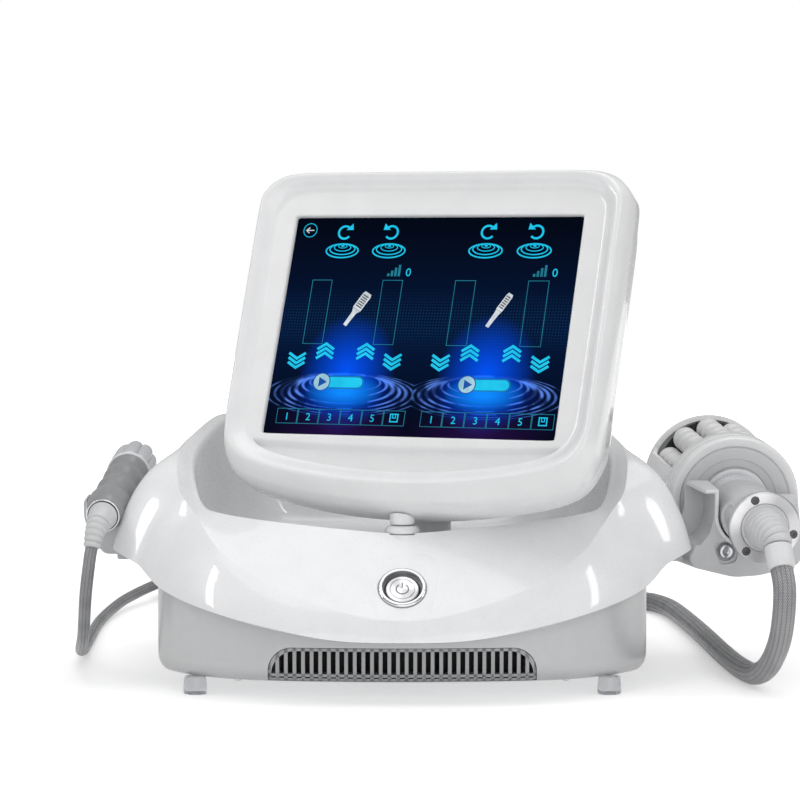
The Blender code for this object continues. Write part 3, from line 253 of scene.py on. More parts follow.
silicone = finish("ball_silicone", (0.70, 0.70, 0.70), 0.36, scale=1200, bump=0.08, coat=0.1)
clear_rubber = finish("cloudy_foot_rubber", (0.66, 0.67, 0.69), 0.12, scale=300, mottle=0.04,
                      glass=0.85, bump=0.01)
clear_grey = finish("clear_grey_handle", (0.62, 0.625, 0.635), 0.20, 0.30, scale=800, mottle=0.05,
                    coat=0.6, bump=0.01)
holder_grey = finish("holder_grey_plastic", (0.60, 0.605, 0.615), 0.36, scale=1500, bump=0.08)
slat_grey = finish("vent_slat_grey", (0.36, 0.364, 0.372), 0.38, 0.25, scale=1800, bump=0.06)
shaded_well_chrome = finish("dark_well_chrome", (0.20, 0.20, 0.21), 0.22, 0.9, scale=500, spread=0.02)
symbol_grey = finish("symbol_grey", (0.16, 0.162, 0.17), 0.42, scale=1500, bump=0.1)
zinc_sheet = finish("zinc_sheet", (0.62, 0.63, 0.64), 0.38, 0.8, scale=420, mottle=0.05,
                    spread=0.06, bump=0.01)
collar_white = finish("collar_white_plastic", (0.72, 0.723, 0.73), 0.36, scale=1500, bump=0.04)


def sheen_painted_steel(name, frame_of, deep, light):
    """Turned steel with a painted sheen: light and dark sectors run out from its middle."""
    made = finish(name, light, 0.36, 0.85, scale=700, spread=0.01, bump=0.0)
    kit = Nodes(made.node_tree)
    x, y, _ = kit.local(frame_of)[1]
    turn = kit.math("ARCTAN2", y, x)
    wide = kit.math("SINE", kit.math("MULTIPLY", turn, 2.0))
    narrow = kit.math("MULTIPLY", kit.math("SINE", kit.math("MULTIPLY", turn, 5.0)), 0.35)
    # Painted sheen: the lighter and darker sectors stand in for the reflection that turned metal shows.
    painted_sheen_sectors = kit.remap(kit.math("ADD", wide, narrow), -0.9, 0.9)
    kit.feed(made.node_tree.nodes["Principled BSDF"].inputs["Base Color"],
             kit.mix(painted_sheen_sectors, (*deep, 1), (*light, 1)))
    return made


flange_steel = sheen_painted_steel("turned_flange_steel", body_grip, (0.42, 0.42, 0.43), (0.72, 0.72, 0.73))
button_steel = sheen_painted_steel("turned_button_steel", button, (0.50, 0.50, 0.51), (0.82, 0.82, 0.83))
print("finishes", len(bpy.data.materials))

# %% [markdown]
# Most of the machine is skins between rings and turned profiles. Corners in a
# profile are rounded with a few points each, because real edges catch light.
# %% Pieces and skins
def piece(name, mesh, body, surface, *nodes, slot=None, sharp=35):
    """Link a finished mesh, shade it, and let it ride on a body."""
    mesh.name = name
    obj = bpy.data.objects.new(name, mesh)
    scene.collection.objects.link(obj)
    if surface is not None:
        mesh.materials.clear()
        mesh.materials.append(surface)
    mesh.shade_smooth()
    mesh.set_sharp_from_angle(angle=math.radians(sharp))
    if body:
        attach(obj, body)
    if nodes:
        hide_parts(*nodes)
    return obj


def carry(name, surface):
    """Give a piece that the frame brought in one of the finishes."""
    for slot in bpy.data.objects[name].material_slots:
        slot.material = surface


def to_mesh(name, work, matrix=None):
    bmesh.ops.recalc_face_normals(work, faces=work.faces)
    mesh = bpy.data.meshes.new(name)
    work.to_mesh(mesh)
    work.free()
    if matrix is not None:
        mesh.transform(matrix)
    return mesh


def skin(name, rings, matrix=None, round_again=False, ends=(True, True), mark=False):
    """Join rings of equal count. A ring of one point closes to a pole."""
    work = bmesh.new()
    rows = [[work.verts.new(p) for p in ring] for ring in rings]
    pairs = zip(rows, rows[1:] + rows[:1]) if round_again else zip(rows, rows[1:])
    layer = work.loops.layers.uv.new("run") if mark else None
    for i, (low, high) in enumerate(pairs):
        count = max(len(low), len(high))
        for j in range(count):
            k = (j + 1) % count
            corners = []
            for row, at in ((low, j), (low, k), (high, k), (high, j)):
                vert = row[at if len(row) > 1 else 0]
                if vert not in corners:
                    corners.append(vert)
            face = work.faces.new(corners)
            if mark:
                run = ((j, i), (j + 1, i), (j + 1, i + 1), (j, i + 1))
                for loop, (u, v) in zip(face.loops, run):
                    loop[layer].uv = (u / count, v)
    if not round_again:
        for wanted, row in zip(ends, (rows[0], rows[-1])):
            if wanted and len(row) > 2:
                work.faces.new(row)
    return to_mesh(name, work, matrix)

# %% [markdown]
# A profile turned about an axis, a box with rounded edges and a flat outline
# with some depth make most of the smaller parts.
# %% Turned forms, blocks and slabs
def softened(points, radius, steps=3, closed=False):
    """Round the corners of a line of points in a plane."""
    run = [Vector(p) for p in points]
    out = []
    for i, point in enumerate(run):
        if not closed and i in (0, len(run) - 1):
            out.append(point)
            continue
        before, after = run[i - 1], run[(i + 1) % len(run)]
        reach = min(radius, (before - point).length * 0.45, (after - point).length * 0.45)
        one = point + (before - point).normalized() * reach
        two = point + (after - point).normalized() * reach
        for j in range(steps + 1):
            t = j / steps
            out.append(one * (1 - t) ** 2 + point * (2 * t * (1 - t)) + two * t * t)
    return out


def turned(name, profile, matrix, steps=64, radius=0.0006, closed=False, soft=3):
    """Turn a profile of radius and height about the frame's Z."""
    run = softened(profile, radius, soft, closed)
    rings = []
    for p in run:
        if p[0] < 1e-7:
            rings.append([(0, 0, p[1])])
        else:
            rings.append([(p[0] * math.cos(2 * math.pi * k / steps),
                           p[0] * math.sin(2 * math.pi * k / steps), p[1]) for k in range(steps)])
    return skin(name, rings, matrix, round_again=closed)


def solid(radius, low, high):
    return [(0, high), (radius, high), (radius, low), (0, low)]


def block(name, size, matrix, edge=0.0006, rounds=3):
    """A box with rounded edges about the frame's origin."""
    work = bmesh.new()
    bmesh.ops.create_cube(work, size=1.0, matrix=Matrix.Diagonal((*size, 1)))
    if edge:
        bmesh.ops.bevel(work, geom=work.edges[:], offset=edge, segments=rounds, profile=0.5,
                        affect="EDGES")
    return to_mesh(name, work, matrix)


def prism(work, line, run):
    """Close the space between an outline and its copy moved by the run."""
    low = [work.verts.new(p) for p in line]
    high = [work.verts.new(Vector(p) + Vector(run)) for p in line]
    work.faces.new(low[::-1])
    work.faces.new(high)
    for i in range(len(line)):
        work.faces.new((low[i - 1], low[i], high[i], high[i - 1]))


def slab(name, outline, depth, matrix, edge=0.0006, corner=0.0):
    """A flat outline in X and Y, thick along Z, with rounded rims."""
    line = [Vector((x, y, 0)) for x, y in outline]
    if corner:
        line = softened(line, corner, 4, True)
    work = bmesh.new()
    prism(work, line, (0, 0, depth))
    if edge:
        work.normal_update()
        rims = [e for e in work.edges if abs(e.verts[0].co.z - e.verts[1].co.z) < 1e-9]
        bmesh.ops.bevel(work, geom=rims, offset=edge, segments=2, profile=0.5, affect="EDGES")
    return to_mesh(name, work, matrix)

# %% [markdown]
# Openings are cut with booleans, shells get their wall from a modifier, and
# both are worked out at once, so each piece ends as one plain mesh.
# %% Joining, cutting and walls
def merged(name, *meshes):
    """Put several meshes together in one, each keeping its own material."""
    work = bmesh.new()
    out = bpy.data.meshes.new(name)
    for mesh in meshes:
        before = len(work.faces)
        work.from_mesh(mesh)
        work.faces.ensure_lookup_table()
        kept = [surface for surface in mesh.materials if surface is not None]
        for surface in kept:
            if surface.name not in out.materials:
                out.materials.append(surface)
        if kept:
            slot = out.materials.find(kept[0].name)
            for face in work.faces[before:]:
                face.material_index = slot
    work.to_mesh(out)
    work.free()
    return out


def cut(mesh, *cutters, action="DIFFERENCE"):
    """Boolean cutters out of a mesh, or join them to it."""
    main = bpy.data.objects.new(mesh.name, mesh)
    scene.collection.objects.link(main)
    helpers = []
    for cutter in cutters:
        tool = bpy.data.objects.new("tool", cutter)
        scene.collection.objects.link(tool)
        helpers.append(tool)
        step = main.modifiers.new("cut", "BOOLEAN")
        step.operation = action
        step.solver = "EXACT"
        step.object = tool
    made = baked(main)
    for tool in helpers:
        bpy.data.objects.remove(tool)
    return made


def baked(obj):
    """The mesh an object's modifiers give, with the object removed."""
    view = bpy.context.evaluated_depsgraph_get()
    mesh = bpy.data.meshes.new_from_object(obj.evaluated_get(view), depsgraph=view)
    bpy.data.objects.remove(obj)
    return mesh


def walled(mesh, thickness):
    """Give an open skin a wall on its inner side."""
    obj = bpy.data.objects.new(mesh.name, mesh)
    scene.collection.objects.link(obj)
    wall = obj.modifiers.new("wall", "SOLIDIFY")
    wall.thickness = thickness
    wall.offset = -1
    wall.use_even_offset = False
    return baked(obj)

# %% [markdown]
# Things that repeat on a circle or along a line are placed by one Geometry
# Nodes tree: it makes the points, sets a copy of a small shape on each, turns
# the copies to face outwards, and makes them real at the end.
# %% Repeating tree
repeat_tree = bpy.data.node_groups.new("repeat_shape", "GeometryNodeTree")
for label, kind in (("Geometry", "Geometry"), ("Shape", "Object"), ("Count", "Int"),
                    ("Circle Radius", "Float"), ("Line Step", "Vector"), ("Surface", "Material")):
    repeat_tree.interface.new_socket(label, in_out="INPUT", socket_type="NodeSocket" + kind)
repeat_tree.interface.new_socket("Geometry", in_out="OUTPUT", socket_type="NodeSocketGeometry")
add = repeat_tree.nodes.new
link = repeat_tree.links.new
source = add("NodeGroupInput").outputs
ring = add("GeometryNodeMeshCircle")
link(source["Count"], ring.inputs["Vertices"])
link(source["Circle Radius"], ring.inputs["Radius"])
row = add("GeometryNodeMeshLine")
link(source["Count"], row.inputs["Count"])
link(source["Line Step"], row.inputs["Offset"])
is_ring = add("FunctionNodeCompare")
is_ring.operation = "GREATER_THAN"
link(source["Circle Radius"], is_ring.inputs[0])
pick = add("GeometryNodeSwitch")
pick.input_type = "GEOMETRY"
link(is_ring.outputs[0], pick.inputs[0])
link(row.outputs[0], pick.inputs[1])
link(ring.outputs["Mesh"], pick.inputs[2])
spot = add("GeometryNodeInputPosition")
aim = add("FunctionNodeAlignRotationToVector")
aim.axis = "X"
aim.pivot_axis = "Z"
link(spot.outputs[0], aim.inputs["Vector"])
straight = add("GeometryNodeSwitch")
straight.input_type = "ROTATION"
link(is_ring.outputs[0], straight.inputs[0])
link(aim.outputs[0], straight.inputs[2])
shape = add("GeometryNodeObjectInfo")
link(source["Shape"], shape.inputs["Object"])
copies = add("GeometryNodeInstanceOnPoints")
link(pick.outputs[0], copies.inputs["Points"])
link(shape.outputs["Geometry"], copies.inputs["Instance"])
link(straight.outputs[0], copies.inputs["Rotation"])
real = add("GeometryNodeRealizeInstances")
link(copies.outputs[0], real.inputs[0])
paint = add("GeometryNodeSetMaterial")
link(real.outputs[0], paint.inputs["Geometry"])
link(source["Surface"], paint.inputs["Material"])
link(paint.outputs[0], add("NodeGroupOutput").inputs[0])


def repeated(mesh, count, surface, matrix=None, radius=0.0, step=(0, 0, 0)):
    """Copies of a small mesh round a circle or along a line, as one mesh."""
    small = bpy.data.objects.new("shape", mesh)
    scene.collection.objects.link(small)
    host = bpy.data.objects.new(mesh.name + "_set", bpy.data.meshes.new(mesh.name + "_set"))
    scene.collection.objects.link(host)
    nodes = host.modifiers.new("repeat", "NODES")
    nodes.node_group = repeat_tree
    values = {"Shape": small, "Count": count, "Circle Radius": radius, "Line Step": step,
              "Surface": surface}
    for item in repeat_tree.interface.items_tree:
        if item.in_out == "INPUT" and item.name in values:
            nodes[item.identifier] = values[item.name]
    made = baked(host)
    bpy.data.objects.remove(small)
    if matrix is not None:
        made.transform(matrix)
    return made


print("repeat tree", len(repeat_tree.nodes), "nodes")

# %% [markdown]
# Each handpiece hangs on a braided hose. The braid is a pattern of crossing strands over the tube's own
# run. Its colour carries painted shade over the dark core of the hose: the strands darken towards their
# edges and where they dip under, and a dark gap runs between the columns.
# %% Braid finish
def braid_finish(name, light, deep, strands, pitch):
    made, kit, shader = fresh(name)
    split = kit.add("SeparateXYZ")
    kit.feed(split.inputs[0], kit.add("UVMap", uv_map="run").outputs[0])
    across = kit.math("MULTIPLY", split.outputs[0], strands)
    down = kit.math("MULTIPLY", split.outputs[1], pitch)
    lanes = (kit.math("ADD", across, down), kit.math("SUBTRACT", across, down))
    waves = [kit.math("ABSOLUTE", kit.math("SINE", kit.math("MULTIPLY", lane, math.pi)))
             for lane in lanes]
    turns = [kit.math("FLOOR", lane) for lane in lanes]
    over = kit.math("FLOORED_MODULO", kit.math("ADD", *turns), 2.0)
    under = kit.math("SUBTRACT", 1.0, over)
    lifted = [kit.math("MULTIPLY", wave, kit.math("MAXIMUM", side, 0.45))
              for wave, side in zip(waves, (over, under))]
    height = kit.math("MAXIMUM", *lifted)
    where = kit.add("TexCoord").outputs["Object"]
    worn = kit.remap(kit.noise(where, 60.0), 0.3, 0.7, -0.12, 0.12)
    # Painted shade: a darker gap between the columns, and strands darker where they dip under.
    gap = kit.math("ABSOLUTE", kit.math("SINE", kit.math("MULTIPLY", across, math.pi / 2)))
    painted_gap_shade = kit.remap(gap, 0.0, 0.55, 0.30, 1.0)
    share = kit.math("MULTIPLY", kit.math("ADD", kit.remap(height, 0.35, 0.95), worn), painted_gap_shade)
    kit.feed(shader["Base Color"], kit.mix(share, (*deep, 1), (*light, 1)))
    kit.feed(shader["Roughness"], kit.remap(height, 0.0, 1.0, 0.55, 0.22))
    kit.feed(shader["Normal"], kit.bump(0.8, 0.0008, height).outputs[0])
    shader["Metallic"].default_value = 0.30
    return made


body_braid = braid_finish("body_hose_braid", (0.60, 0.604, 0.615), (0.10, 0.10, 0.11), 30, 3.4)
face_braid = braid_finish("face_hose_braid", (0.56, 0.564, 0.575), (0.10, 0.10, 0.11), 22, 3.0)
print("braids", body_braid.name, face_braid.name)

# %% [markdown]
# The photograph shows a loop of hose at each side, and the rest is put away in
# a coil behind the machine and comes up to a socket in the back. A hose keeps
# one smooth centreline from its handpiece to its socket.
# %% Hose routes
def flowing(knots, spacing):
    """Points at an even spacing on a smooth curve through the knots."""
    knots = [Vector(k) for k in knots]
    ends = [knots[0] * 2 - knots[1]] + knots + [knots[-1] * 2 - knots[-2]]
    fine = []
    for i in range(1, len(ends) - 2):
        a, b, c, d = ends[i - 1:i + 3]
        for j in range(24):
            t = j / 24
            fine.append(0.5 * ((2 * b) + (c - a) * t + (2 * a - 5 * b + 4 * c - d) * t * t
                               + (3 * b - a - 3 * c + d) * t ** 3))
    fine.append(knots[-1])
    run = [0.0]
    for one, two in zip(fine, fine[1:]):
        run.append(run[-1] + (two - one).length)
    count = max(2, round(run[-1] / spacing))
    out, k = [], 0
    for i in range(count + 1):
        want = run[-1] * i / count
        while k < len(run) - 2 and run[k + 1] < want:
            k += 1
        out.append(fine[k].lerp(fine[k + 1], (want - run[k]) / max(run[k + 1] - run[k], 1e-9)))
    return out


def coil(middle, inner, diameter, steps=60):
    """One turn drawn in on the floor, a half turn climb, and one turn out above."""
    points = []
    for i in range(int(2.5 * steps) + 1):
        run = i / steps
        drawn = min(run, 1) - max(0.0, run - 1.5)
        climb = min(max((run - 1) * 2, 0.0), 1.0)
        radius = inner + (1 - drawn) * diameter * 1.25
        turn = 2 * math.pi * run
        points.append(Vector((middle[0] + radius * math.cos(turn),
                              middle[1] + radius * math.sin(turn),
                              floor_z + diameter / 2 + diameter * 1.12 * climb)))
    return points


def hose_line(diameter, free, turns, tail):
    """The whole centreline, from the handpiece to the rear socket."""
    into = (turns[1] - turns[0]).normalized()
    out = (turns[-1] - turns[-2]).normalized()
    first = flowing(free + [turns[0] - into * diameter * 1.6, turns[0] - into * diameter * 0.6,
                            turns[0]], diameter * 0.4)
    last = flowing([turns[-1], turns[-1] + out * diameter * 0.6, turns[-1] + out * diameter * 1.3]
                   + tail, diameter * 0.4)
    return first[:-1] + turns + last[1:]


def swept(line, radii, sides):
    """Rings at points of a line, from their index and radius, without a twist."""
    last = len(line) - 1
    aim = (line[1] - line[0]).normalized()
    side = aim.orthogonal().normalized()
    rings = []
    for i, radius in radii:
        ahead = (line[min(i + 1, last)] - line[max(i - 1, 0)]).normalized()
        side = aim.rotation_difference(ahead) @ side
        aim = ahead
        up = aim.cross(side).normalized()
        rings.append([line[i] + (side * math.cos(2 * math.pi * k / sides)
                                 + up * math.sin(2 * math.pi * k / sides)) * radius
                      for k in range(sides)])
    return rings


def hose_tube(name, line, diameter, sides=18):
    """A round tube on the line, with its run kept as UV for the braid."""
    radii = [(i, diameter / 2) for i in range(len(line))]
    return skin(name, swept(line, radii, sides), mark=True)


def length_of(line):
    return sum((b - a).length for a, b in zip(line, line[1:]))

# %% [markdown]
# The knots are places that the hoses pass. In front they follow the picture,
# and behind the machine they lie on the bench.
# %% The two hoses
rear_y, rear_z = 0.15275, 0.036
socket_reach = 0.022
body_hose_d = 0.015
collar_start = body_end + Vector((0.0054, -0.0240, -0.0099))
collar_run = Vector((0.09, -0.50, -0.86)).normalized()
collar_len = 0.0165
hose_exit = collar_start + collar_run * (collar_len + fit_gap)
rear_end_y = rear_y + socket_reach + fit_gap
body_line = hose_line(body_hose_d, [
    hose_exit, hose_exit + collar_run * body_hose_d * 0.8, (0.2480, -0.1505, 0.0470),
    (0.2462, -0.1430, 0.0270), (0.2425, -0.1180, 0.0075), (0.2380, -0.0850, -0.0027),
    (0.2320, -0.0480, -0.0038), (0.2279, 0.0226, -0.0040), (0.2234, 0.1410, -0.0040),
    (0.2158, 0.2610, -0.0040), (0.2060, 0.3050, -0.0040),
], coil((0.102, 0.345), 0.0755, body_hose_d), [
    (0.0085, 0.2780, 0.0030), (0.0090, 0.2500, 0.0090), (0.0095, 0.2260, 0.0240),
    (0.0100, 0.2060, 0.0330), (0.010, rear_end_y + body_hose_d * 0.9, rear_z),
    (0.010, rear_end_y, rear_z),
])
body_hose = piece("body_hose", hose_tube("body_hose", body_line, body_hose_d), None, body_braid,
                  "body_hose_free", "body_hose_coil", "body_hose_tail", slot="grey_braid")

face_hose_d = 0.0085
face_relief_end = face_end + Vector((-0.0055, -0.0200, -0.0197))
face_run = Vector((-0.15, -0.28, -0.94)).normalized()
face_exit = face_relief_end + face_run * fit_gap
face_line = hose_line(face_hose_d, [
    face_exit, face_exit + face_run * face_hose_d * 0.8, (-0.2125, -0.0900, 0.0520),
    (-0.2180, -0.0560, 0.0200), (-0.2265, 0.0050, 0.0010), (-0.2310, 0.0650, -0.0062),
    (-0.2333, 0.1200, -0.0072), (-0.2362, 0.2200, -0.0072), (-0.2300, 0.3050, -0.0045),
    (-0.2190, 0.3480, -0.0010), (-0.2090, 0.3780, 0.0013),
], coil((-0.1519, 0.405), 0.0420, face_hose_d)[::-1], [
    (-0.0960, 0.3600, -0.0070), (-0.0800, 0.3150, -0.0070), (-0.0600, 0.2720, -0.0066),
    (-0.0475, 0.2380, 0.0030), (-0.0415, 0.2090, 0.0300),
    (-0.040, rear_end_y + face_hose_d * 1.1, rear_z), (-0.040, rear_end_y, rear_z),
])
face_hose = piece("face_hose", hose_tube("face_hose", face_line, face_hose_d, 14), None,
                  face_braid, "face_hose_free", "face_hose_coil", "face_hose_tail",
                  slot="grey_braid")
print("hose lengths", round(length_of(body_line), 3), round(length_of(face_line), 3))

# %% [markdown]
# The base is two shells. The lower one is a sprayed ring with rolled lower
# edges, and the upper one is a glossy cover whose wings sweep out past it,
# with a bowl that the head turns in. Both follow half outlines given as shares
# of their width, depth and height, which are smoothed and mirrored.
# %% Outlines of the base
chassis_shares = (
    (0.000, -1.000), (0.240, -0.990), (0.470, -0.965), (0.655, -0.918), (0.785, -0.852),
    (0.885, -0.770), (0.955, -0.680), (0.995, -0.580), (1.000, -0.270), (1.000, 0.100),
    (1.000, 0.500), (1.000, 0.840), (0.980, 0.940), (0.900, 1.000), (0.450, 1.000),
    (0.000, 1.000),
)
lip_shares = (
    (0.000, -1.000, 0.184), (0.235, -0.988, 0.193), (0.469, -0.947, 0.245),
    (0.638, -0.847, 0.288), (0.765, -0.725, 0.331), (0.842, -0.622, 0.374),
    (0.908, -0.524, 0.442), (1.000, -0.412, 0.497), (0.905, -0.224, 0.503),
    (0.892, 0.059, 0.503), (0.890, 0.382, 0.491), (0.887, 0.660, 0.466),
    (0.880, 0.835, 0.442), (0.805, 0.950, 0.417), (0.400, 0.970, 0.405),
    (0.000, 0.970, 0.405),
)
bulge_shares = (
    (0.000, -0.988, 0.221), (0.214, -0.976, 0.245), (0.454, -0.924, 0.307),
    (0.638, -0.812, 0.393), (0.755, -0.688, 0.472), (0.816, -0.576, 0.552),
    (0.867, -0.471, 0.650), (0.932, -0.341, 0.847), (0.868, -0.176, 0.847),
    (0.872, 0.071, 0.828), (0.866, 0.376, 0.828), (0.860, 0.640, 0.798),
    (0.842, 0.800, 0.767), (0.750, 0.915, 0.736), (0.380, 0.945, 0.724),
    (0.000, 0.945, 0.724),
)
crease_shares = (
    (0.000, -0.965, 0.264), (0.184, -0.947, 0.294), (0.408, -0.871, 0.380),
    (0.592, -0.735, 0.497), (0.668, -0.618, 0.589), (0.714, -0.529, 0.656),
    (0.765, -0.447, 0.736), (0.786, -0.282, 0.853), (0.770, -0.106, 0.908),
    (0.735, 0.088, 0.957), (0.694, 0.353, 0.994), (0.653, 0.541, 1.000),
    (0.561, 0.682, 1.000), (0.429, 0.741, 1.000), (0.214, 0.765, 1.000),
    (0.000, 0.765, 1.000),
)
bowl_shares = (
    (0.000, -0.665, 0.583), (0.184, -0.659, 0.598), (0.357, -0.635, 0.617),
    (0.520, -0.571, 0.635), (0.633, -0.506, 0.653), (0.689, -0.447, 0.675),
    (0.724, -0.365, 0.736), (0.745, -0.247, 0.834), (0.735, -0.106, 0.896),
    (0.699, 0.088, 0.951), (0.663, 0.341, 0.991), (0.622, 0.518, 0.997),
    (0.536, 0.647, 0.997), (0.408, 0.706, 0.997), (0.204, 0.729, 0.997),
    (0.000, 0.729, 0.997),
)
cover_w, cover_d, cover_h = 0.196, 0.170, 0.163
bowl_floor = 0.081
wall_t = 0.003


def smoothed(table, passes=3):
    """More stations on a smooth curve through a half outline."""
    rows = [Vector(row) for row in table]
    for _ in range(passes):
        mirror = [-1] + [1] * (len(table[0]) - 1)
        before = Vector([a * b for a, b in zip(rows[1], mirror)])
        after = Vector([a * b for a, b in zip(rows[-2], mirror)])
        run = [before] + rows + [after]
        rows = []
        for i in range(1, len(run) - 2):
            rows.append(run[i])
            rows.append((run[i] + run[i + 1]) * 0.5625 - (run[i - 1] + run[i + 2]) * 0.0625)
        rows.append(run[-2])
    return rows


def whole(half):
    """The ring from its right half."""
    half = [Vector(p) for p in half]
    return half + [Vector((-p.x, p.y, p.z)) for p in reversed(half[1:-1])]


def cover_line(table):
    return whole([(x * cover_w, y * cover_d, z * cover_h) for x, y, z in smoothed(table)])


print("outline stations", len(smoothed(lip_shares)))

# %% [markdown]
# The cover's skin runs from its lower edge over the bulge to the crease, up to
# the lip, round it, and down a curve into the bowl.
# %% Skin of the cover
edge, bulge, crease, lip = (
    cover_line(table) for table in (lip_shares, bulge_shares, crease_shares, bowl_shares))


def blended(one, two, share):
    return [a.lerp(b, share) for a, b in zip(one, two)]


def curved(one, middle, two, t):
    return [a * (1 - t) ** 2 + b * (2 * t * (1 - t)) + c * t * t
            for a, b, c in zip(one, middle, two)]


def toward_middle(line, inward, drop=0.0, level=None):
    share = 1 - inward / cover_w
    return [Vector((p.x * share, p.y * share, p.z - drop if level is None else level))
            for p in line]


lip_r = 0.005
bowl_in = cover_w * 0.10
cover_rings = [curved(edge, bulge, crease, i / 16) for i in range(16)]
cover_rings += [blended(curved(edge, bulge, crease, 15 / 16), crease, 0.85), crease,
                blended(crease, lip, 0.03)]
cover_rings += [blended(crease, lip, i / 6) for i in range(1, 6)]
cover_rings += [toward_middle(lip, lip_r * math.sin(i * math.pi / 12),
                              lip_r * (1 - math.cos(i * math.pi / 12))) for i in range(7)]
inner_lip = cover_rings[-1]
wall_foot = toward_middle(lip, bowl_in * 0.72, level=bowl_floor + lip_r * 0.3)
floor_line = toward_middle(lip, bowl_in * 1.9, level=bowl_floor)
cover_rings += [curved(inner_lip, wall_foot, floor_line, i / 14) for i in range(1, 15)]
cover_mesh = walled(skin("upper_cover_skin", cover_rings, ends=(False, True)), wall_t)
print("cover rings", len(cover_rings))

# %% [markdown]
# A seat for the head's stub rises from the bowl, and a round recess takes the
# power button. The slope dips a little round the button, in a soft square that
# only the finish shows.
# %% Upper cover
seat_r, seat_z = 0.0118 * 1.12, 0.0941
under_head = shift((0, swivel_y, 0))
seat_profile = [(0, seat_z), (seat_r, seat_z), (seat_r * 1.25, seat_z * 0.80), (0, seat_z * 0.80)]
seat = turned("stub_seat", seat_profile, under_head, 48)
seat_top = turned("seat_top", solid(seat_r * 1.03, seat_z, seat_z * 1.2), under_head, 48)
cover_mesh = cut(cover_mesh, seat, action="UNION")
ring_r, ring_h, head_r = 0.0159, 0.0026, 0.0110
cover_mesh = cut(cover_mesh, seat_top,
                 turned("ring_recess", solid(ring_r + fit_gap, -ring_h * 0.4 - fit_gap, ring_h * 4),
                        button, 64),
                 turned("ring_bore", solid(head_r + 0.0015, -0.022, 0.022), button, 48))
cover_white = finish("cover_white_plastic", (0.80, 0.805, 0.815), 0.30, scale=900, coat=0.7)
pad = Nodes(cover_white.node_tree)
shader = cover_white.node_tree.nodes["Principled BSDF"].inputs
level, up_slope, _ = pad.local(button)[1]
rise = pad.math("ADD", up_slope, 0.001)
half_wide = pad.remap(rise, -0.028, 0.028, 0.0165, 0.0245)
wide = pad.math("POWER", pad.math("DIVIDE", pad.math("ABSOLUTE", level), half_wide), 4.0)
tall = pad.math("POWER", pad.math("DIVIDE", pad.math("ABSOLUTE", rise), 0.0275), 4.0)
inside = pad.remap(pad.math("ADD", wide, tall), 1.35, 0.65)
dent = pad.bump(0.6, 0.0009, inside)
pad.feed(dent.inputs["Normal"], shader["Normal"].links[0].from_socket)
pad.feed(shader["Normal"], dent.outputs[0])
cover = piece("cover_shell", cover_mesh, "base", cover_white, "upper_cover", slot="gloss_white",
              sharp=32)
print("cover", len(cover.data.polygons), "faces")

# %% [markdown]
# The lower shell is one closed ring of skin. It runs down the outside from
# behind the cover's edge, round a rolled lower edge, and back up the inside.
# %% Lower shell
chassis_w, chassis_d, edge_r, edge_in = 0.330, 0.300, 0.014, 0.010
chassis_half = smoothed(chassis_shares)


def chassis_line(inset, height):
    heights = height if isinstance(height, list) else [height] * len(chassis_half)
    return whole([(p.x * (chassis_w / 2 - inset), p.y * (chassis_d / 2 - inset), z)
                  for p, z in zip(chassis_half, heights)])


def bearing(x, y):
    return math.atan2(x, -y)


lip_run = [(bearing(p.x * cover_w, p.y * cover_d), p.z * cover_h) for p in smoothed(lip_shares)]


def lip_over(p):
    """Height of the cover's lower edge over a chassis station."""
    want = bearing(p.x * chassis_w / 2, p.y * chassis_d / 2)
    for (one, low), (two, high) in zip(lip_run, lip_run[1:]):
        if want <= two + 1e-5:
            return low + (high - low) * max(0.0, want - one) / (two - one)
    return lip_run[-1][1]


rims = [lip_over(p) + 0.004 for p in chassis_half]
chassis_rings = [chassis_line(0, rims)]
chassis_rings += [chassis_line(edge_in * (1 - math.cos(a * math.pi / 16)) ** 1.2,
                               edge_r * (1 - math.sin(a * math.pi / 16))) for a in range(9)]
chassis_rings += [chassis_line(edge_in + wall_t, 0), chassis_line(edge_in + wall_t, wall_t),
                  chassis_line(edge_in * 0.5 + wall_t, wall_t + edge_r * 0.2),
                  chassis_line(wall_t, wall_t + edge_r * 0.8), chassis_line(wall_t, rims)]


def chassis_skin(name):
    return skin(name, chassis_rings, round_again=True)


vent_w, vent_top, vent_low, vent_r = 0.176, 0.0236, 0.001, 0.016
vent_front, vent_deep = -0.154, 0.024
stand_up = spun(90, "X")


def vent_form(grow, depth, front):
    """The vent's outline with round upper corners, as a block into the front."""
    half, r = vent_w / 2 + grow, vent_r
    right = [(half, vent_low - grow)]
    right += [(half - r + r * math.cos(math.radians(7.5 * i)),
               vent_top + grow - r + r * math.sin(math.radians(7.5 * i))) for i in range(13)]
    outline = right + [(-x, z) for x, z in reversed(right)]
    return slab("vent_form", outline, depth, shift((0, front + depth, 0)) @ stand_up, 0)


rear_open = block("rear_open", (0.242, 0.018, 0.042), shift((0, chassis_d / 2, rear_z)), 0)
chassis_mesh = cut(chassis_skin("chassis_shell"), vent_form(0, vent_deep, vent_front), rear_open)
chassis = piece("chassis_shell", chassis_mesh, "base", silver_paint, "base_chassis",
                slot="silver_grey", sharp=40)
print("chassis", len(chassis.data.polygons), "faces")

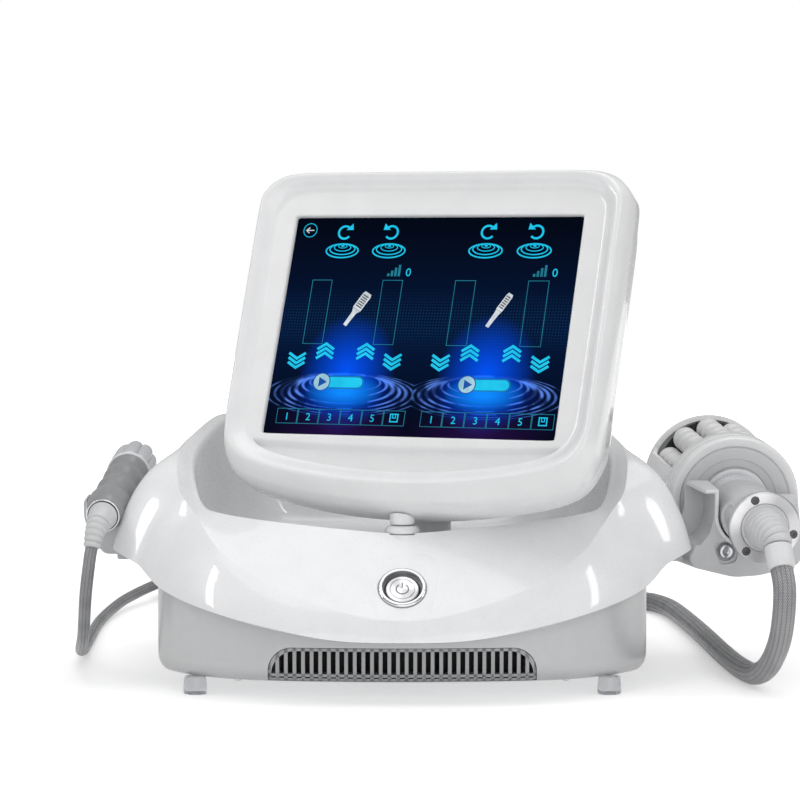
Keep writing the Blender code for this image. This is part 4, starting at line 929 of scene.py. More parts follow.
# %% [markdown]
# The vent is a row of narrow slats let into the chassis, each running from the
# top rail down past a lower rail, so their ends show as small teeth. One slat
# is shaped, a line of copies is made, and the row is trimmed to the opening.
# %% Vent
vent_pitch, slat_w, slat_count = 0.00563, 0.0024, 32
slat = block("slat", (slat_w, 0.040, 0.030), Matrix.Identity(4), 0.0004, 2)
first_slat = shift((-(slat_count - 1) / 2 * vent_pitch, -0.140, 0.011))
slats = repeated(slat, slat_count, slat_grey, first_slat, step=(vent_pitch, 0, 0))
rail = block("rail", (vent_w, 0.040, 0.0020), shift((0, -0.140, 0.0052)), 0.0003, 2)
arch_in = cut(vent_form(0.002, 0.02, -0.156), vent_form(-0.0022, 0.05, -0.170))
trimmed = []
for part in (slats, rail, arch_in):
    part = cut(part, chassis_skin("vent_curve"), action="INTERSECT")
    trimmed.append(cut(part, vent_form(-fit_gap, vent_deep, vent_front), action="INTERSECT"))
grille = piece("vent_slats", merged("vent_slats", *trimmed), "base", slat_grey, "front_grille",
               slot="satin_silver")
# Painted shade: a near-black sheet with two posts sits behind the slats to darken the gap behind the
# vent.
shade_sheet = block("vent_baffle", (0.160, 0.0015, 0.020), shift((0, -0.1240, 0.0145)), 0.0003)
shade_posts = repeated(block("post", (0.006, 0.008, 0.017), Matrix.Identity(4), 0.0008), 2, shadow_black,
                 shift((-0.0262, -0.1285, 0.0140)), step=(0.0524, 0, 0))
piece("vent_baffle", merged("vent_baffle", shade_sheet, shade_posts), "base", shadow_black,
      slot="black_plastic")
print("vent", len(grille.data.polygons), "faces")

# %% [markdown]
# The feet are cloudy clear rubber with a waist, held by a screw from below.
# %% Feet
foot_x, foot_y = 0.1377, 0.110
for number, (side, end) in enumerate(((-1, -1), (-1, 1), (1, -1), (1, 1)), 1):
    spot = shift((side * foot_x, end * foot_y, 0))
    body = turned("foot", [(0, -0.0003), (0.0072, -0.0003), (0.0076, -0.0040), (0.00815, -0.0080),
                           (0.0078, -0.0120), (0.0050, -0.0120), (0.0044, -0.0100), (0, -0.0100)],
                  spot, 40)
    piece("rubber_foot_%d" % number, body, "base", clear_rubber, "foot_%d" % number,
          slot="clear_rubber")
    screw_form = turned("foot_screw", [(0, -0.0103), (0.0030, -0.0103), (0.0034, -0.0108),
                                       (0.0020, -0.0116), (0, -0.0116)], spot, 24, 0.0002)
    piece("foot_screw_%d" % number, screw_form, "base", brushed, slot="brushed_steel")
print("feet", number)

# %% [markdown]
# Power button: a chrome bezel set into the slope, a chrome well inside it darkened as painted shade, and
# a turned steel head with a painted sheen sunk in the well. A fine groove runs round the head's face, and
# the usual ring-and-bar symbol stands a hair above it.
# %% Power button
bezel = turned("button_bezel", [
    (ring_r, ring_h * 0.25), (ring_r, -ring_h * 0.4), (head_r + 0.0012, -ring_h * 0.4),
    (head_r + 0.0012, -0.006), (head_r + 0.0003, -0.006), (head_r + 0.0003, -0.0024),
    (head_r + 0.0020, ring_h * 0.30), (head_r + 0.0023, ring_h * 0.60),
    (ring_r * 0.95, ring_h * 0.52)], button, 96, 0.0005, closed=True)
piece("button_bezel", bezel, "base", chrome, "power_bezel", slot="chrome")
# Painted shade: the well's chrome is darkened to stand for the shade inside the recess round the head.
piece("button_well", turned("button_well", [
    (head_r + 0.0003, -0.0022), (head_r + 0.0020, ring_h * 0.42), (head_r + 0.0024, ring_h * 0.42),
    (head_r + 0.0012, -0.0022)], button, 96, 0, closed=True), "base", shaded_well_chrome, slot="chrome")
top = -0.0012
head_form = turned("button_head", [
    (0, top), (head_r * 0.70, top), (head_r * 0.73, top - 0.0005), (head_r * 0.76, top),
    (head_r * 0.95, top - 0.0001), (head_r, top - 0.0008), (head_r, -0.0039), (0, -0.0039)],
    button, 96, 0.0002)
piece("button_head", head_form, "power_button", button_steel, "power_button", slot="brushed_steel")


def arc_band(inner, outer, first, last, count=40):
    """Outline of a bent strip in a plane, angles in degrees."""
    turns = [math.radians(first + (last - first) * i / count) for i in range(count + 1)]
    return [(outer * math.cos(t), outer * math.sin(t)) for t in turns] + \
        [(inner * math.cos(t), inner * math.sin(t)) for t in reversed(turns)]


symbol_t = 0.0002
bar_line = [(-0.0004, 0.001), (0.0004, 0.001), (0.0004, 0.0052), (-0.0004, 0.0052)]
symbol = merged("symbol", *[slab("symbol", line, symbol_t, Matrix.Identity(4), 0)
                            for line in (arc_band(0.0036, 0.0044, -235, 55), bar_line)])
symbol.transform(button @ shift((0, 0, top - 0.00005)))
piece("button_symbol", symbol, "power_button", symbol_grey, slot="black_plastic")
print("power button dressed")

# %% [markdown]
# The stub is two turned parts: a stepped flange that stays in the bowl and a
# cap that turns on it with the head, trimmed where the head's shell begins.
# %% Swivel stub
stub = shift((0, swivel_y, seat_z))
flange_form = turned("stub_flange", [
    (0, 0.0077), (0.0035, 0.0077), (0.0035, 0.0055), (0.0094, 0.0055), (0.0118, 0.0030),
    (0.0118, 0.0003), (0, 0.0003)], stub, 64, 0.0012)
piece("stub_flange", flange_form, "base", gloss_white, "pivot_flange", slot="gloss_white")
cap_low = seat_z + 0.0055 + fit_gap * 2
cap_form = turned("stub_cap", [
    (0, 0.0143), (0.0085, 0.0143), (0.0085, 0.0012), (0.0076, 0), (0.0038, 0), (0.0038, 0.0025),
    (0, 0.0025)], neck @ shift((0, 0, cap_low)), 64, 0.0009)
cap_form = cut(cap_form, block("cap_trim", (0.136, 0.084, 0.130),
                               screen @ shift((0, 0, -0.0653)), 0))
piece("stub_cap", cap_form, "head", gloss_white, "pivot_cap", slot="gloss_white")
print("stub dressed")

# %% [markdown]
# The display head is a deep moulded frame. A raised, rounded rim steps down to
# a flat face, and below the display the face dips into a crescent that ends
# against the rim. The dip is a small push into the face, worked out from how
# far each point lies inside the crescent.
# %% Display frame
head_half_w, head_top, head_low, rim_w = 0.136, 0.113, 0.130, 0.012
rim_rise, face_rise, side_back = 0.010, 0.004, 0.024
screen_w, screen_h = 0.2112, 0.1584
head_shares = (
    (0.000, 1.000), (0.300, 1.000), (0.600, 1.000), (0.800, 0.995), (0.910, 0.960),
    (0.975, 0.885), (1.000, 0.780), (1.000, 0.400), (0.998, 0.000), (0.996, -0.300),
    (0.993, -0.550), (0.985, -0.680), (0.950, -0.775), (0.880, -0.850), (0.750, -0.905),
    (0.550, -0.950), (0.300, -0.985), (0.000, -1.000),
)
opening_shares = (
    (0.000, 1.000), (0.350, 1.000), (0.680, 1.000), (0.900, 1.000), (0.985, 0.998),
    (0.998, 0.980), (1.000, 0.930), (1.000, 0.500), (1.000, 0.000), (1.000, -0.350),
    (1.000, -0.650), (1.000, -0.900), (0.998, -0.975), (0.980, -0.997), (0.850, -1.000),
    (0.600, -1.000), (0.300, -1.000), (0.000, -1.000),
)
head_half, open_half = smoothed(head_shares), smoothed(opening_shares)


def head_line(out, side_in, top_in, low_in):
    return whole([(p.x * (head_half_w - side_in), -out,
                   p.y * ((head_top - top_in) if p.y > 0 else (head_low - low_in)))
                  for p in head_half])


def open_line(out, grow):
    return whole([(p.x * (screen_w / 2 + grow), -out, p.y * (screen_h / 2 + grow))
                  for p in open_half])


def eased(t):
    t = min(max(t, 0.0), 1.0)
    return t * t * (3 - 2 * t)


def crescent(p):
    """Push a point of the face back where it lies in the crescent."""
    inside = max(0.0, 1 - (p.x / 0.110) ** 2)
    upper = -0.0830 - 0.0030 * inside
    lower = -0.0870 - 0.0170 * math.sqrt(inside)
    depth = 0.0045 * eased((upper - p.z) / 0.0050) * eased((p.z - lower) / 0.0010)
    return p + Vector((0, depth, 0)) if inside > 0 else p


rim_steps = ((-side_back, 0.17, 0), (-side_back * 0.93, 0.05, 0), (-side_back * 0.4, 0, 0),
             (0, 0.02, 0.2))
rim_steps += tuple((rim_rise * rise, inset, low) for rise, inset, low in (
    (0.35, 0.09, 0.57), (0.70, 0.21, 0.95), (0.93, 0.29, 1.21), (0.99, 0.35, 1.29),
    (1.00, 0.43, 1.37), (0.97, 0.56, 1.48), (0.86, 0.74, 1.68), (0.68, 0.88, 1.85),
    (0.52, 1.02, 1.98), (0.43, 1.18, 2.08)))
rim_steps += ((face_rise, 1.35, 2.15),)
bezel_rings = [head_line(out, inset * rim_w, inset * rim_w, low * rim_w)
               for out, inset, low in rim_steps]
face_edge, glass_edge = bezel_rings[-1], open_line(face_rise, 0.0012)
face_steps = 44
bezel_rings += [[crescent(p) for p in blended(face_edge, glass_edge, i / face_steps)]
                for i in range(1, face_steps)]
bezel_rings += [glass_edge, open_line(face_rise * 0.85, 0.0004), open_line(face_rise * 0.5, 0),
                open_line(fit_gap, 0), open_line(fit_gap, 0.0033), open_line(-0.005, 0.0033),
                head_line(-0.006, 0.006, 0.006, 0.0096), head_line(-side_back, 0.0054, 0.0054, 0.0036)]
bezel_form = skin("display_frame", bezel_rings, screen, round_again=True)
display_frame = piece("display_frame", bezel_form, "head", gloss_white, "head_bezel",
                      slot="gloss_white", sharp=50)
print("head frame", len(display_frame.data.polygons), "faces")

# %% [markdown]
# The head's back is guessed: a shell that draws in towards its middle, a boss
# that glides on the bowl's floor as the head turns, and a row of louvres.
# %% Back of the head
shell_from, shell_deep = side_back + fit_gap, 0.066
shell_steps = (
    (0, 0.22, 0.22, 0.08), (0.045, 0.22, 0.22, 0.08), (0.055, 0.30, 0.32, 0.16),
    (0.15, 0.40, 0.62, 0.50), (0.30, 0.60, 1.2, 1.0), (0.48, 0.95, 2.3, 1.6), (0.68, 1.6, 4.0, 2.5),
    (0.82, 2.2, 5.1, 3.2), (0.90, 3.0, 6.0, 3.8), (0.96, 3.7, 6.7, 4.3), (0.99, 4.3, 7.2, 4.75),
    (1.0, 4.8, 7.7, 5.2),
)
shell_rings = [head_line(-shell_from - t * shell_deep, a * rim_w, b * rim_w, c * rim_w)
               for t, a, b, c in shell_steps]
shell_form = walled(skin("rear_shell", shell_rings, screen, ends=(False, True)), 0.0024)
glide = turned("glide_boss", [(0, 0.035), (0.014, 0.035), (0.014, 0.001), (0.0125, 0), (0, 0)],
               neck @ shift((0, 0.050, bowl_floor + fit_gap)), 48)
shell_form = cut(shell_form, glide, action="UNION")
louvre = block("louvre", (0.0022, 0.010, 0.034), Matrix.Identity(4), 0.0008, 2)
first_louvre = screen @ shift((-0.042, side_back + shell_deep, -0.012))
shell_form = cut(shell_form, repeated(louvre, 15, gloss_white, first_louvre, step=(0.006, 0, 0)))
rear_shell = piece("rear_shell", shell_form, "head", gloss_white, "head_rear_shell",
                   slot="gloss_white", sharp=32)
print("head back", len(rear_shell.data.polygons), "faces")

# %% [markdown]
# The lit display is a dark glass panel. Its deep blue ground, the fine grid of
# dots and the two pools of light are one shader, and the controls are thin
# glowing shapes laid on the glass: plain arrows, ripples, bars and numbers.
# %% Display ground
def glow_finish(name, colour, second, scale=90.0):
    """A lit mark whose tone drifts a little, as a backlight does."""
    made, kit, shader = fresh(name)
    for label, value in (("Base Color", (0.01, 0.01, 0.01, 1)), ("Roughness", 0.5),
                         ("Specular IOR Level", 0.0), ("Emission Strength", 1.0)):
        shader[label].default_value = value
    drift = kit.remap(kit.noise(kit.add("TexCoord").outputs["Object"], scale), 0.35, 0.65)
    kit.feed(shader["Emission Color"], kit.mix(drift, (*colour, 1), (*second, 1)))
    return made


ground, kit, shader = fresh("display_ground")
local, (across, _, up) = kit.local(screen)
pool_x, pool_z, dot_pitch = 0.0508, -0.0445, 0.0021
side = kit.math("SUBTRACT", kit.math("ABSOLUTE", across), pool_x)
high = kit.math("SUBTRACT", up, pool_z)
deep_blue = kit.mix(kit.remap(kit.math("ABSOLUTE", kit.math("SUBTRACT", up, -0.004)), 0.075, 0.0),
                    (0.0006, 0.0020, 0.0070, 1), (0.0010, 0.0075, 0.0360, 1))
cell = kit.math("MULTIPLY", *[kit.math("SINE", kit.math("MULTIPLY", axis, math.pi / dot_pitch))
                              for axis in (across, up)])
dots = kit.math("MULTIPLY", kit.remap(kit.math("ABSOLUTE", cell), 0.35, 1.0),
                kit.remap(kit.math("ABSOLUTE", kit.math("SUBTRACT", up, 0.004)), 0.024, 0.006))
colour = kit.mix(kit.math("MULTIPLY", dots, 0.32), deep_blue, (0.010, 0.075, 0.20, 1))


def oval(wide, tall, low=0.0):
    """How far out a point lies in an oval pool of light, 1 at its edge."""
    a = kit.math("POWER", kit.math("DIVIDE", side, wide), 2.0)
    b = kit.math("POWER", kit.math("DIVIDE", kit.math("SUBTRACT", high, low), tall), 2.0)
    return kit.math("SQRT", kit.math("ADD", a, b))


beam = kit.remap(oval(0.036, 0.044, 0.010), 1.0, 0.0)
pool = kit.remap(oval(0.050, 0.020, -0.006), 1.0, 0.25)
core = kit.remap(oval(0.029, 0.0130, -0.003), 1.0, 0.15)
violet = kit.math("MULTIPLY", kit.remap(up, -0.058, -0.074),
                  kit.remap(kit.math("ABSOLUTE", side), 0.055, 0.0))
colour = kit.mix(kit.math("POWER", beam, 1.2), colour, (0.0006, 0.090, 0.95, 1))
colour = kit.mix(kit.math("MULTIPLY", pool, 0.35), colour, (0.002, 0.016, 0.30, 1))
colour = kit.mix(kit.math("MULTIPLY", violet, 0.55), colour, (0.030, 0.005, 0.085, 1))
colour = kit.mix(core, colour, (0.004, 0.26, 1.0, 1))
streak = kit.noise(local, 70.0, 2.0)
rings = ((0.026, 0.0065, 0.0035, 0.050, 0.75), (0.031, 0.0085, 0.0015, 0.050, 0.95),
         (0.036, 0.0105, -0.0010, 0.060, 1.00), (0.041, 0.0120, -0.0030, 0.045, 0.95),
         (0.046, 0.0132, -0.0040, 0.040, 0.85), (0.051, 0.0145, -0.0046, 0.028, 0.65),
         (0.057, 0.0155, -0.0050, 0.020, 0.45))
outward = kit.remap(kit.math("ABSOLUTE", side), 0.008, 0.038)
ring_tone = kit.mix(outward, (0.010, 0.16, 1.0, 1), (0.13, 0.30, 1.0, 1))
for wide, tall, low, thick, bright in rings:
    off = kit.math("ABSOLUTE", kit.math("SUBTRACT", oval(wide, tall, low), 1.0))
    band = kit.remap(off, thick, 0.0)
    lit = kit.math("MULTIPLY", band, kit.remap(streak, 0.42, 0.56, 0.10, 1.0))
    colour = kit.mix(kit.math("MULTIPLY", lit, bright), colour, ring_tone)
kit.feed(shader["Emission Color"], colour)
for label, value in (("Emission Strength", 1.0), ("Base Color", (0.0008, 0.001, 0.002, 1)),
                     ("Specular IOR Level", 0.0), ("IOR", 1.01)):
    shader[label].default_value = value
kit.feed(shader["Roughness"], kit.remap(kit.noise(local, 300.0), 0.3, 0.7, 0.30, 0.36))
carry("display_panel", ground)
print("display ground", len(ground.node_tree.nodes), "nodes")

# %% [markdown]
# The marks are outlines in millimetres from the display's middle, drawn as
# strips of some width and made a little thick.
# %% Drawing on the glass
cyan = glow_finish("lit_cyan", (0.004, 0.50, 0.78), (0.010, 0.60, 0.88))
dim_cyan = glow_finish("lit_dim_cyan", (0.006, 0.16, 0.24), (0.010, 0.22, 0.32))
pale_lit = glow_finish("lit_pale", (0.50, 0.56, 0.62), (0.74, 0.78, 0.82), 260.0)
grey_lit = glow_finish("lit_grey", (0.10, 0.11, 0.13), (0.20, 0.21, 0.23), 600.0)
blue_lit = glow_finish("lit_play_blue", (0.004, 0.06, 0.30), (0.008, 0.09, 0.42))
disc_lit = glow_finish("lit_play_disc", (0.26, 0.50, 0.62), (0.42, 0.66, 0.76), 120.0)
mm = 0.001
mark_lift, mark_t = 0.00012, 0.00008


def strip(line, width, again=False):
    """Outlines of the quads that make a line of some width."""
    run = [Vector(p) for p in line]
    count = len(run)
    sides = []
    for i, p in enumerate(run):
        before = run[i - 1] if i or again else p
        after = run[(i + 1) % count] if i < count - 1 or again else p
        one, two = (p - before), (after - p)
        aim = ((one.normalized() if one.length else Vector((0, 0)))
               + (two.normalized() if two.length else Vector((0, 0)))).normalized()
        lean = max(0.5, abs(aim.dot((two if two.length else one).normalized())))
        off = Vector((-aim.y, aim.x)) * width / 2 / lean
        sides.append((p + off, p - off))
    pairs = zip(sides, sides[1:] + sides[:1]) if again else zip(sides, sides[1:])
    return [[a, b, d, c] for (a, b), (c, d) in pairs]


def circle(x, y, r, squash=1.0, first=0, last=360, steps=40):
    count = steps if last - first == 360 else steps + 1
    turns = [math.radians(first + (last - first) * i / steps) for i in range(count)]
    return [(x + r * math.cos(t), y + r * squash * math.sin(t)) for t in turns]


def marks(name, shapes, surface, lift=0.0):
    """Thin shapes on the glass, from outlines in millimetres on the display."""
    work = bmesh.new()
    for shape in shapes:
        prism(work, [(x * mm, -mark_lift - lift, y * mm) for x, y in shape], (0, -mark_t, 0))
    return piece(name, to_mesh(name, work, screen), "head", surface, slot="display_glass")


def lettering(text, x, y, size):
    """Outlines of plain numbers."""
    data = bpy.data.curves.new("number", "FONT")
    data.body = text
    data.size = size
    data.align_x = "CENTER"
    data.resolution_u = 3
    mesh = baked(bpy.data.objects.new("number", data))
    return [[(x + mesh.vertices[v].co.x, y + mesh.vertices[v].co.y) for v in face.vertices]
            for face in mesh.polygons]

# %% [markdown]
# The controls: a back arrow, turn arrows over ripples, level bars, chevrons, a
# play bar with its disc, and six keys with plain numbers and a store symbol.
# Both halves of the display show them round their own middle, with a small
# picture of one handpiece each.
# %% Display marks
def box_line(left, low, right, high):
    return [(left, low), (left, high), (right, high), (right, low)]


def play_bar(x, y, half):
    """The play bar's outline, flat at the left and round at the right."""
    return [(x, y - half)] + circle(x + 26.5, y, half, first=-90, last=90, steps=16) + [(x, y + half)]


cyan_shapes, dim_shapes, pale_shapes, grey_shapes, disc_shapes, blue_shapes = [], [], [], [], [], []
cyan_shapes += strip(circle(-95.1, 70.1, 5.0, steps=36), 0.5, True)
pale_shapes += strip([(-92.2, 70.1), (-97.6, 70.1)], 0.7)
pale_shapes += strip([(-95.6, 72.2), (-98.0, 70.1), (-95.6, 68.0)], 0.7)
for middle in (-51.0, 55.0):
    for offset, way in ((-17.5, 1), (17.5, -1)):
        x = middle + offset
        turn_arc = circle(x, 68.4, 4.6, first=50, last=320, steps=30)
        cyan_shapes += strip([(2 * x - a if way < 0 else a, b) for a, b in turn_arc], 1.5)
        cyan_shapes.append([(x + way * 0.9, 70.3), (x + way * 6.2, 70.3), (x + way * 5.4, 75.0)])
        for r, wide, drop in ((3.2, 0.8, 1.6), (6.2, 1.0, 0.6), (9.4, 1.3, -0.6), (12.0, 1.6, -1.8)):
            cyan_shapes += strip(circle(x, 56.6 + drop, r, 0.42, steps=40), wide * 0.62, True)
        cyan_shapes.append(circle(x, 58.4, 1.3, 0.5, steps=20))
    for left in (middle - 36.0, middle + 16.6):
        dim_shapes += strip(box_line(left, -13.4, left + 14.6, 33.2), 0.42, True)
    for i in range(4):
        left, right, high = middle + 19 + i * 2.6, middle + 20.7 + i * 2.6, 38.2 + i * 2.1
        dim_shapes.append([(left, 36.2), (right, 36.2), (right, high), (left, high)])
    cyan_shapes += lettering("0", middle + 34.5, 36.2, 8.4)
    for off_x, off_y, way in ((-38.5, -29.0, -1), (-18.0, -22.0, 1), (12.0, -22.0, 1), (32.5, -29.0, -1)):
        x = middle + off_x
        for i in range(3):
            y = off_y + i * 3.3
            low, peak = y - way * 2.0, y + way * 2.0
            cyan_shapes += strip([(x - 6.2, low), (x, peak), (x + 6.2, low)], 1.9)
    x, y = middle - 17.0, -41.0
    dim_shapes += strip(play_bar(x, y, 4.3), 0.6)
    cyan_shapes.append(play_bar(x, y, 3.6))
    disc_shapes.append(circle(x, y, 6.4, steps=48))
    blue_shapes.append([(x - 2.1, y - 3.5), (x + 3.9, y), (x - 2.1, y + 3.5)])
    blue_shapes += strip(circle(x, y, 6.2, steps=48), 0.7, True)
    for i in range(6):
        left, right = middle - 46.5 + i * 15.8, middle - 31.3 + i * 15.8
        dim_shapes += strip(box_line(left, -71.0, right, -60.5), 0.4, True)
        if i < 5:
            cyan_shapes += lettering(str(i + 1), (left + right) / 2, -68.6, 7.4)
    mid = middle + 40.1
    cyan_shapes += strip(box_line(mid - 2.7, -68.2, mid + 2.7, -62.9), 0.8, True)
    cyan_shapes += strip(box_line(mid - 1.0, -63.4, mid + 1.0, -65.6), 0.6)


def tool_picture(x, y, half):
    """A small picture of a handpiece, drawn on its own slant."""
    lean = math.radians(-31)

    def on_slant(*points):
        return [(x + a * math.cos(lean) - b * math.sin(lean),
                 y + a * math.sin(lean) + b * math.cos(lean)) for a, b in points]

    pale_shapes.append(on_slant((-half, 0.5), (half, 0.5), (half, 12.5), (half * 0.75, 14.3),
                                (-half * 0.75, 14.3), (-half, 12.5)))
    pale_shapes.append(on_slant((-1.3, -13.2), (1.3, -13.2), (1.7, -2.5), (half * 0.9, 0.3),
                                (-half * 0.9, 0.3), (-1.7, -2.5)))
    for i in range(6):
        low, high = 2.3 + i * 1.75, 3.4 + i * 1.75
        grey_shapes.append(on_slant((-half * 0.72, low), (half * 0.72, low),
                                    (half * 0.72, high), (-half * 0.72, high)))


tool_picture(-51.0, 11.5, 3.4)
tool_picture(53.0, 11.5, 2.4)
for name, shapes, surface, lift in (
        ("display_cyan_marks", cyan_shapes, cyan, 0.00008),
        ("display_dim_marks", dim_shapes, dim_cyan, 0.0),
        ("display_pale_marks", pale_shapes, pale_lit, 0.0),
        ("display_grey_marks", grey_shapes, grey_lit, 0.00012),
        ("display_play_discs", disc_shapes, disc_lit, 0.00018),
        ("display_play_arrows", blue_shapes, blue_lit, 0.00030)):
    marks(name, shapes, surface, lift)
print("display marks", len(cyan_shapes) + len(dim_shapes))

# %% [markdown]
# The body roller ends in a steel flange held by three socket screws. Behind
# it come a smoky clear handle and a pale ring, which meets the drum.
# %% Handpiece flange and handle
def hexagon(radius):
    return [(radius * math.cos(math.radians(60 * i)), radius * math.sin(math.radians(60 * i)))
            for i in range(6)]


flange_face = turned("handpiece_flange", [
    (0.0240, 0.0050), (0.0240, 0.0008), (0.0232, 0), (0.0164, 0), (0.0152, 0.0006), (0.0152, 0.0050)],
    body_grip, 96, 0.0004, closed=True)
screw_ring = 0.0198
screw_spots = [shift((-screw_ring * math.cos(turn), screw_ring * math.sin(turn), 0))
               for turn in map(math.radians, (111, 232, -13))]
flange_face = cut(flange_face, *[turned("bore", solid(0.0029, -0.001, 0.0026), body_grip @ spot, 32)
                                 for spot in screw_spots])
piece("handpiece_flange", flange_face, "body_handpiece", flange_steel, "handpiece_flange",
      slot="brushed_steel")
screw_steel = finish("dark_screw_steel", (0.10, 0.10, 0.105), 0.34, 0.7, scale=900, spread=0.1)
for number, spot in enumerate(screw_spots, 1):
    head = turned("socket_screw", [(0, 0.0003), (0.0026, 0.0003), (0.0026, 0.0024), (0, 0.0024)],
                  body_grip @ spot, 32, 0.0004)
    head = cut(head, slab("socket", hexagon(0.0014), 0.0024,
                          body_grip @ spot @ shift((0, 0, -0.001)), 0))
    piece("socket_screw_%d" % number, head, "body_handpiece", screw_steel, slot="brushed_steel")
handle = turned("handle_tube", [
    (0.0205, 0.0942), (0.0205, 0.0110), (0.0200, 0.0104), (0.0200, 0.0090), (0.0205, 0.0084),
    (0.0205, 0.0053), (0.0180, 0.0053), (0.0180, 0.0942)], body_grip, 96, 0.0005, closed=True)
piece("handle_tube", handle, "body_handpiece", clear_grey, "handle_tube", slot="satin_silver")
ring = turned("handle_ring", [
    (0.0235, 0.0993), (0.0235, 0.0943), (0.0206, 0.0943), (0.0181, 0.0943), (0.0181, 0.0993)],
    body_grip, 96, 0.0009, closed=True)
piece("handle_ring", ring, "body_handpiece", pale_silver, slot="chrome")
print("flange screws", number)

# %% [markdown]
# The drum is a white collar with a stepped face and a grey dish, and a white
# shroud cut open over the balls. The carrier inside turns on a shaft that sits
# a little above the drum's own middle.
# %% Drum
shaft_rise = 0.0055
axle = body_grip @ shift((0, shaft_rise, 0))
shaft_bore = solid(0.0043, 0.09, 0.21)
collar = turned("drum_collar", [
    (0, 0.1026), (0.0435, 0.1026), (0.0435, 0.1176), (0.0460, 0.1176), (0.0460, 0.1060),
    (0.0456, 0.1056), (0.0456, 0.1048), (0.0460, 0.1044), (0.0460, 0.0996), (0.0446, 0.0956),
    (0.0392, 0.0968), (0.0385, 0.0982), (0.0240, 0.1002), (0, 0.1002)], body_grip, 128, 0.0008)
collar = cut(collar, turned("shaft_bore", shaft_bore, axle, 32))
piece("drum_collar", collar, "body_handpiece", gloss_white, "drum_collar", slot="gloss_white")
dish = turned("drum_dish", [
    (0.0383, 0.0979), (0.0375, 0.0972), (0.0300, 0.0978), (0.0295, 0.0984), (0.0242, 0.0991),
    (0.0242, 0.0999), (0.0300, 0.0991)], body_grip, 128, 0.0004, closed=True)
piece("drum_dish", dish, "body_handpiece", holder_grey, slot="satin_silver")
shroud = turned("drum_shroud", [
    (0, 0.1995), (0.0440, 0.1995), (0.0460, 0.1975), (0.0460, 0.1179), (0.0435, 0.1179),
    (0.0435, 0.1965), (0, 0.1965)], body_grip, 128, 0.0010)
shroud = cut(shroud, turned("shaft_bore", shaft_bore, axle, 32),
             block("window", (0.140, 0.070, 0.0836), body_grip @ shift((0, 0.0543, 0.1478)),
                   0.004, 5))
piece("drum_shroud", shroud, "body_handpiece", gloss_white, "drum_shroud", slot="gloss_white")
cap_screw = turned("cap_screw", [
    (0, 0.1998), (0.0016, 0.1998), (0.0026, 0.1990), (0.0026, 0.1960), (0, 0.1960)],
    Matrix.Identity(4), 24, 0.0003)
piece("drum_cap_screws", repeated(cap_screw, 4, brushed, body_grip, radius=0.034), "body_handpiece",
      brushed, slot="brushed_steel")
print("drum dressed")

# %% [markdown]
# The carrier is two discs on one shaft, with a vane between the shaft and each
# row. Each of its eleven rows is four silicone balls turned as one form.
# %% Carrier, ball rows and motor
row_count, row_ring, first_row = 11, 0.032, 85
disc_r, near_disc, far_disc = 0.0365, 0.1176, 0.1893
carrier = turned("roller_carrier", [
    (0, 0.1989), (0.0040, 0.1989), (0.0040, far_disc + 0.003), (disc_r, far_disc + 0.003),
    (disc_r, far_disc), (0.0120, far_disc), (0.0105, far_disc - 0.003), (0.0105, near_disc + 0.006),
    (0.0120, near_disc + 0.003), (disc_r, near_disc + 0.003), (disc_r, near_disc), (0.0040, near_disc),
    (0.0040, 0.0966), (0, 0.0966)], axle, 96, 0.0006)
piece("roller_carrier", carrier, "roller_carrier", shadow_black, "roller_carrier", slot="black_plastic")
vane = block("vane", (0.0050, 0.0024, 0.0684), shift((-0.0190, 0, 0.1550)), 0.0005)
piece("carrier_vanes", repeated(vane, row_count, black_plastic, axle, radius=row_ring),
      "roller_carrier", black_plastic, slot="black_plastic")
ball_r, ball_pitch, row_top = 0.0087, 0.0170172, 0.1889688
neck_turn = math.acos(ball_pitch / 2 / ball_r)
for number in range(1, row_count + 1):
    turn = 2 * math.pi * (number - 1) / row_count + math.radians(first_row)
    profile = [(0, row_top)]
    for i in range(4):
        middle = row_top - ball_pitch * (i + 0.5)
        for j in range(19 if i == 3 else 18):
            t = neck_turn + (math.pi - 2 * neck_turn) * j / 18
            profile.append((ball_r * math.sin(t), middle + ball_r * math.cos(t)))
    profile.append((0, row_top - ball_pitch * 4))
    spot = axle @ shift((row_ring * math.cos(turn), row_ring * math.sin(turn), 0))
    row_name = "roller_row_%d" % number
    piece("roller_balls_%d" % number, turned("roller_balls", profile, spot, 40, 0), row_name,
          silicone, row_name, slot="white_silicone")
can = turned("roller_motor", [
    (0, 0.0963), (0.0112, 0.0963), (0.0120, 0.0954), (0.0120, 0.0560), (0.0117, 0.0556),
    (0.0117, 0.0548), (0.0120, 0.0544), (0.0120, 0.0460), (0.0108, 0.0443), (0.0050, 0.0443),
    (0.0050, 0.0450), (0, 0.0450)], axle, 64, 0.0006)
piece("roller_motor", can, "body_handpiece", zinc_sheet, "roller_motor", slot="tinned_steel")
print("ball rows", row_count)

# %% [markdown]
# Both hoses leave their handpieces through ribbed rubber that tapers as it
# bends. Each rib is a rounded ridge, and the groove between two is narrow.
# %% Strain reliefs
def ribbed(name, knots, first_r, last_r, ribs, dip, plain, steps=14, sides=48):
    """A tapering tube whose ribs begin beyond its plain share."""
    line = flowing(knots, 0.0004)
    count = len(line) - 1
    radii = []
    for at in sorted({round(count * i / (ribs * steps)) for i in range(ribs * steps + 1)}):
        share = at / count
        ridge = 1.0
        if share > plain:
            ridge = abs(math.sin(math.pi * (share - plain) / (1 - plain) * ribs)) ** 0.4
        radii.append((at, (first_r + (last_r - first_r) * share) * (1 - dip * (1 - ridge))))
    return skin(name, swept(line, radii, sides))


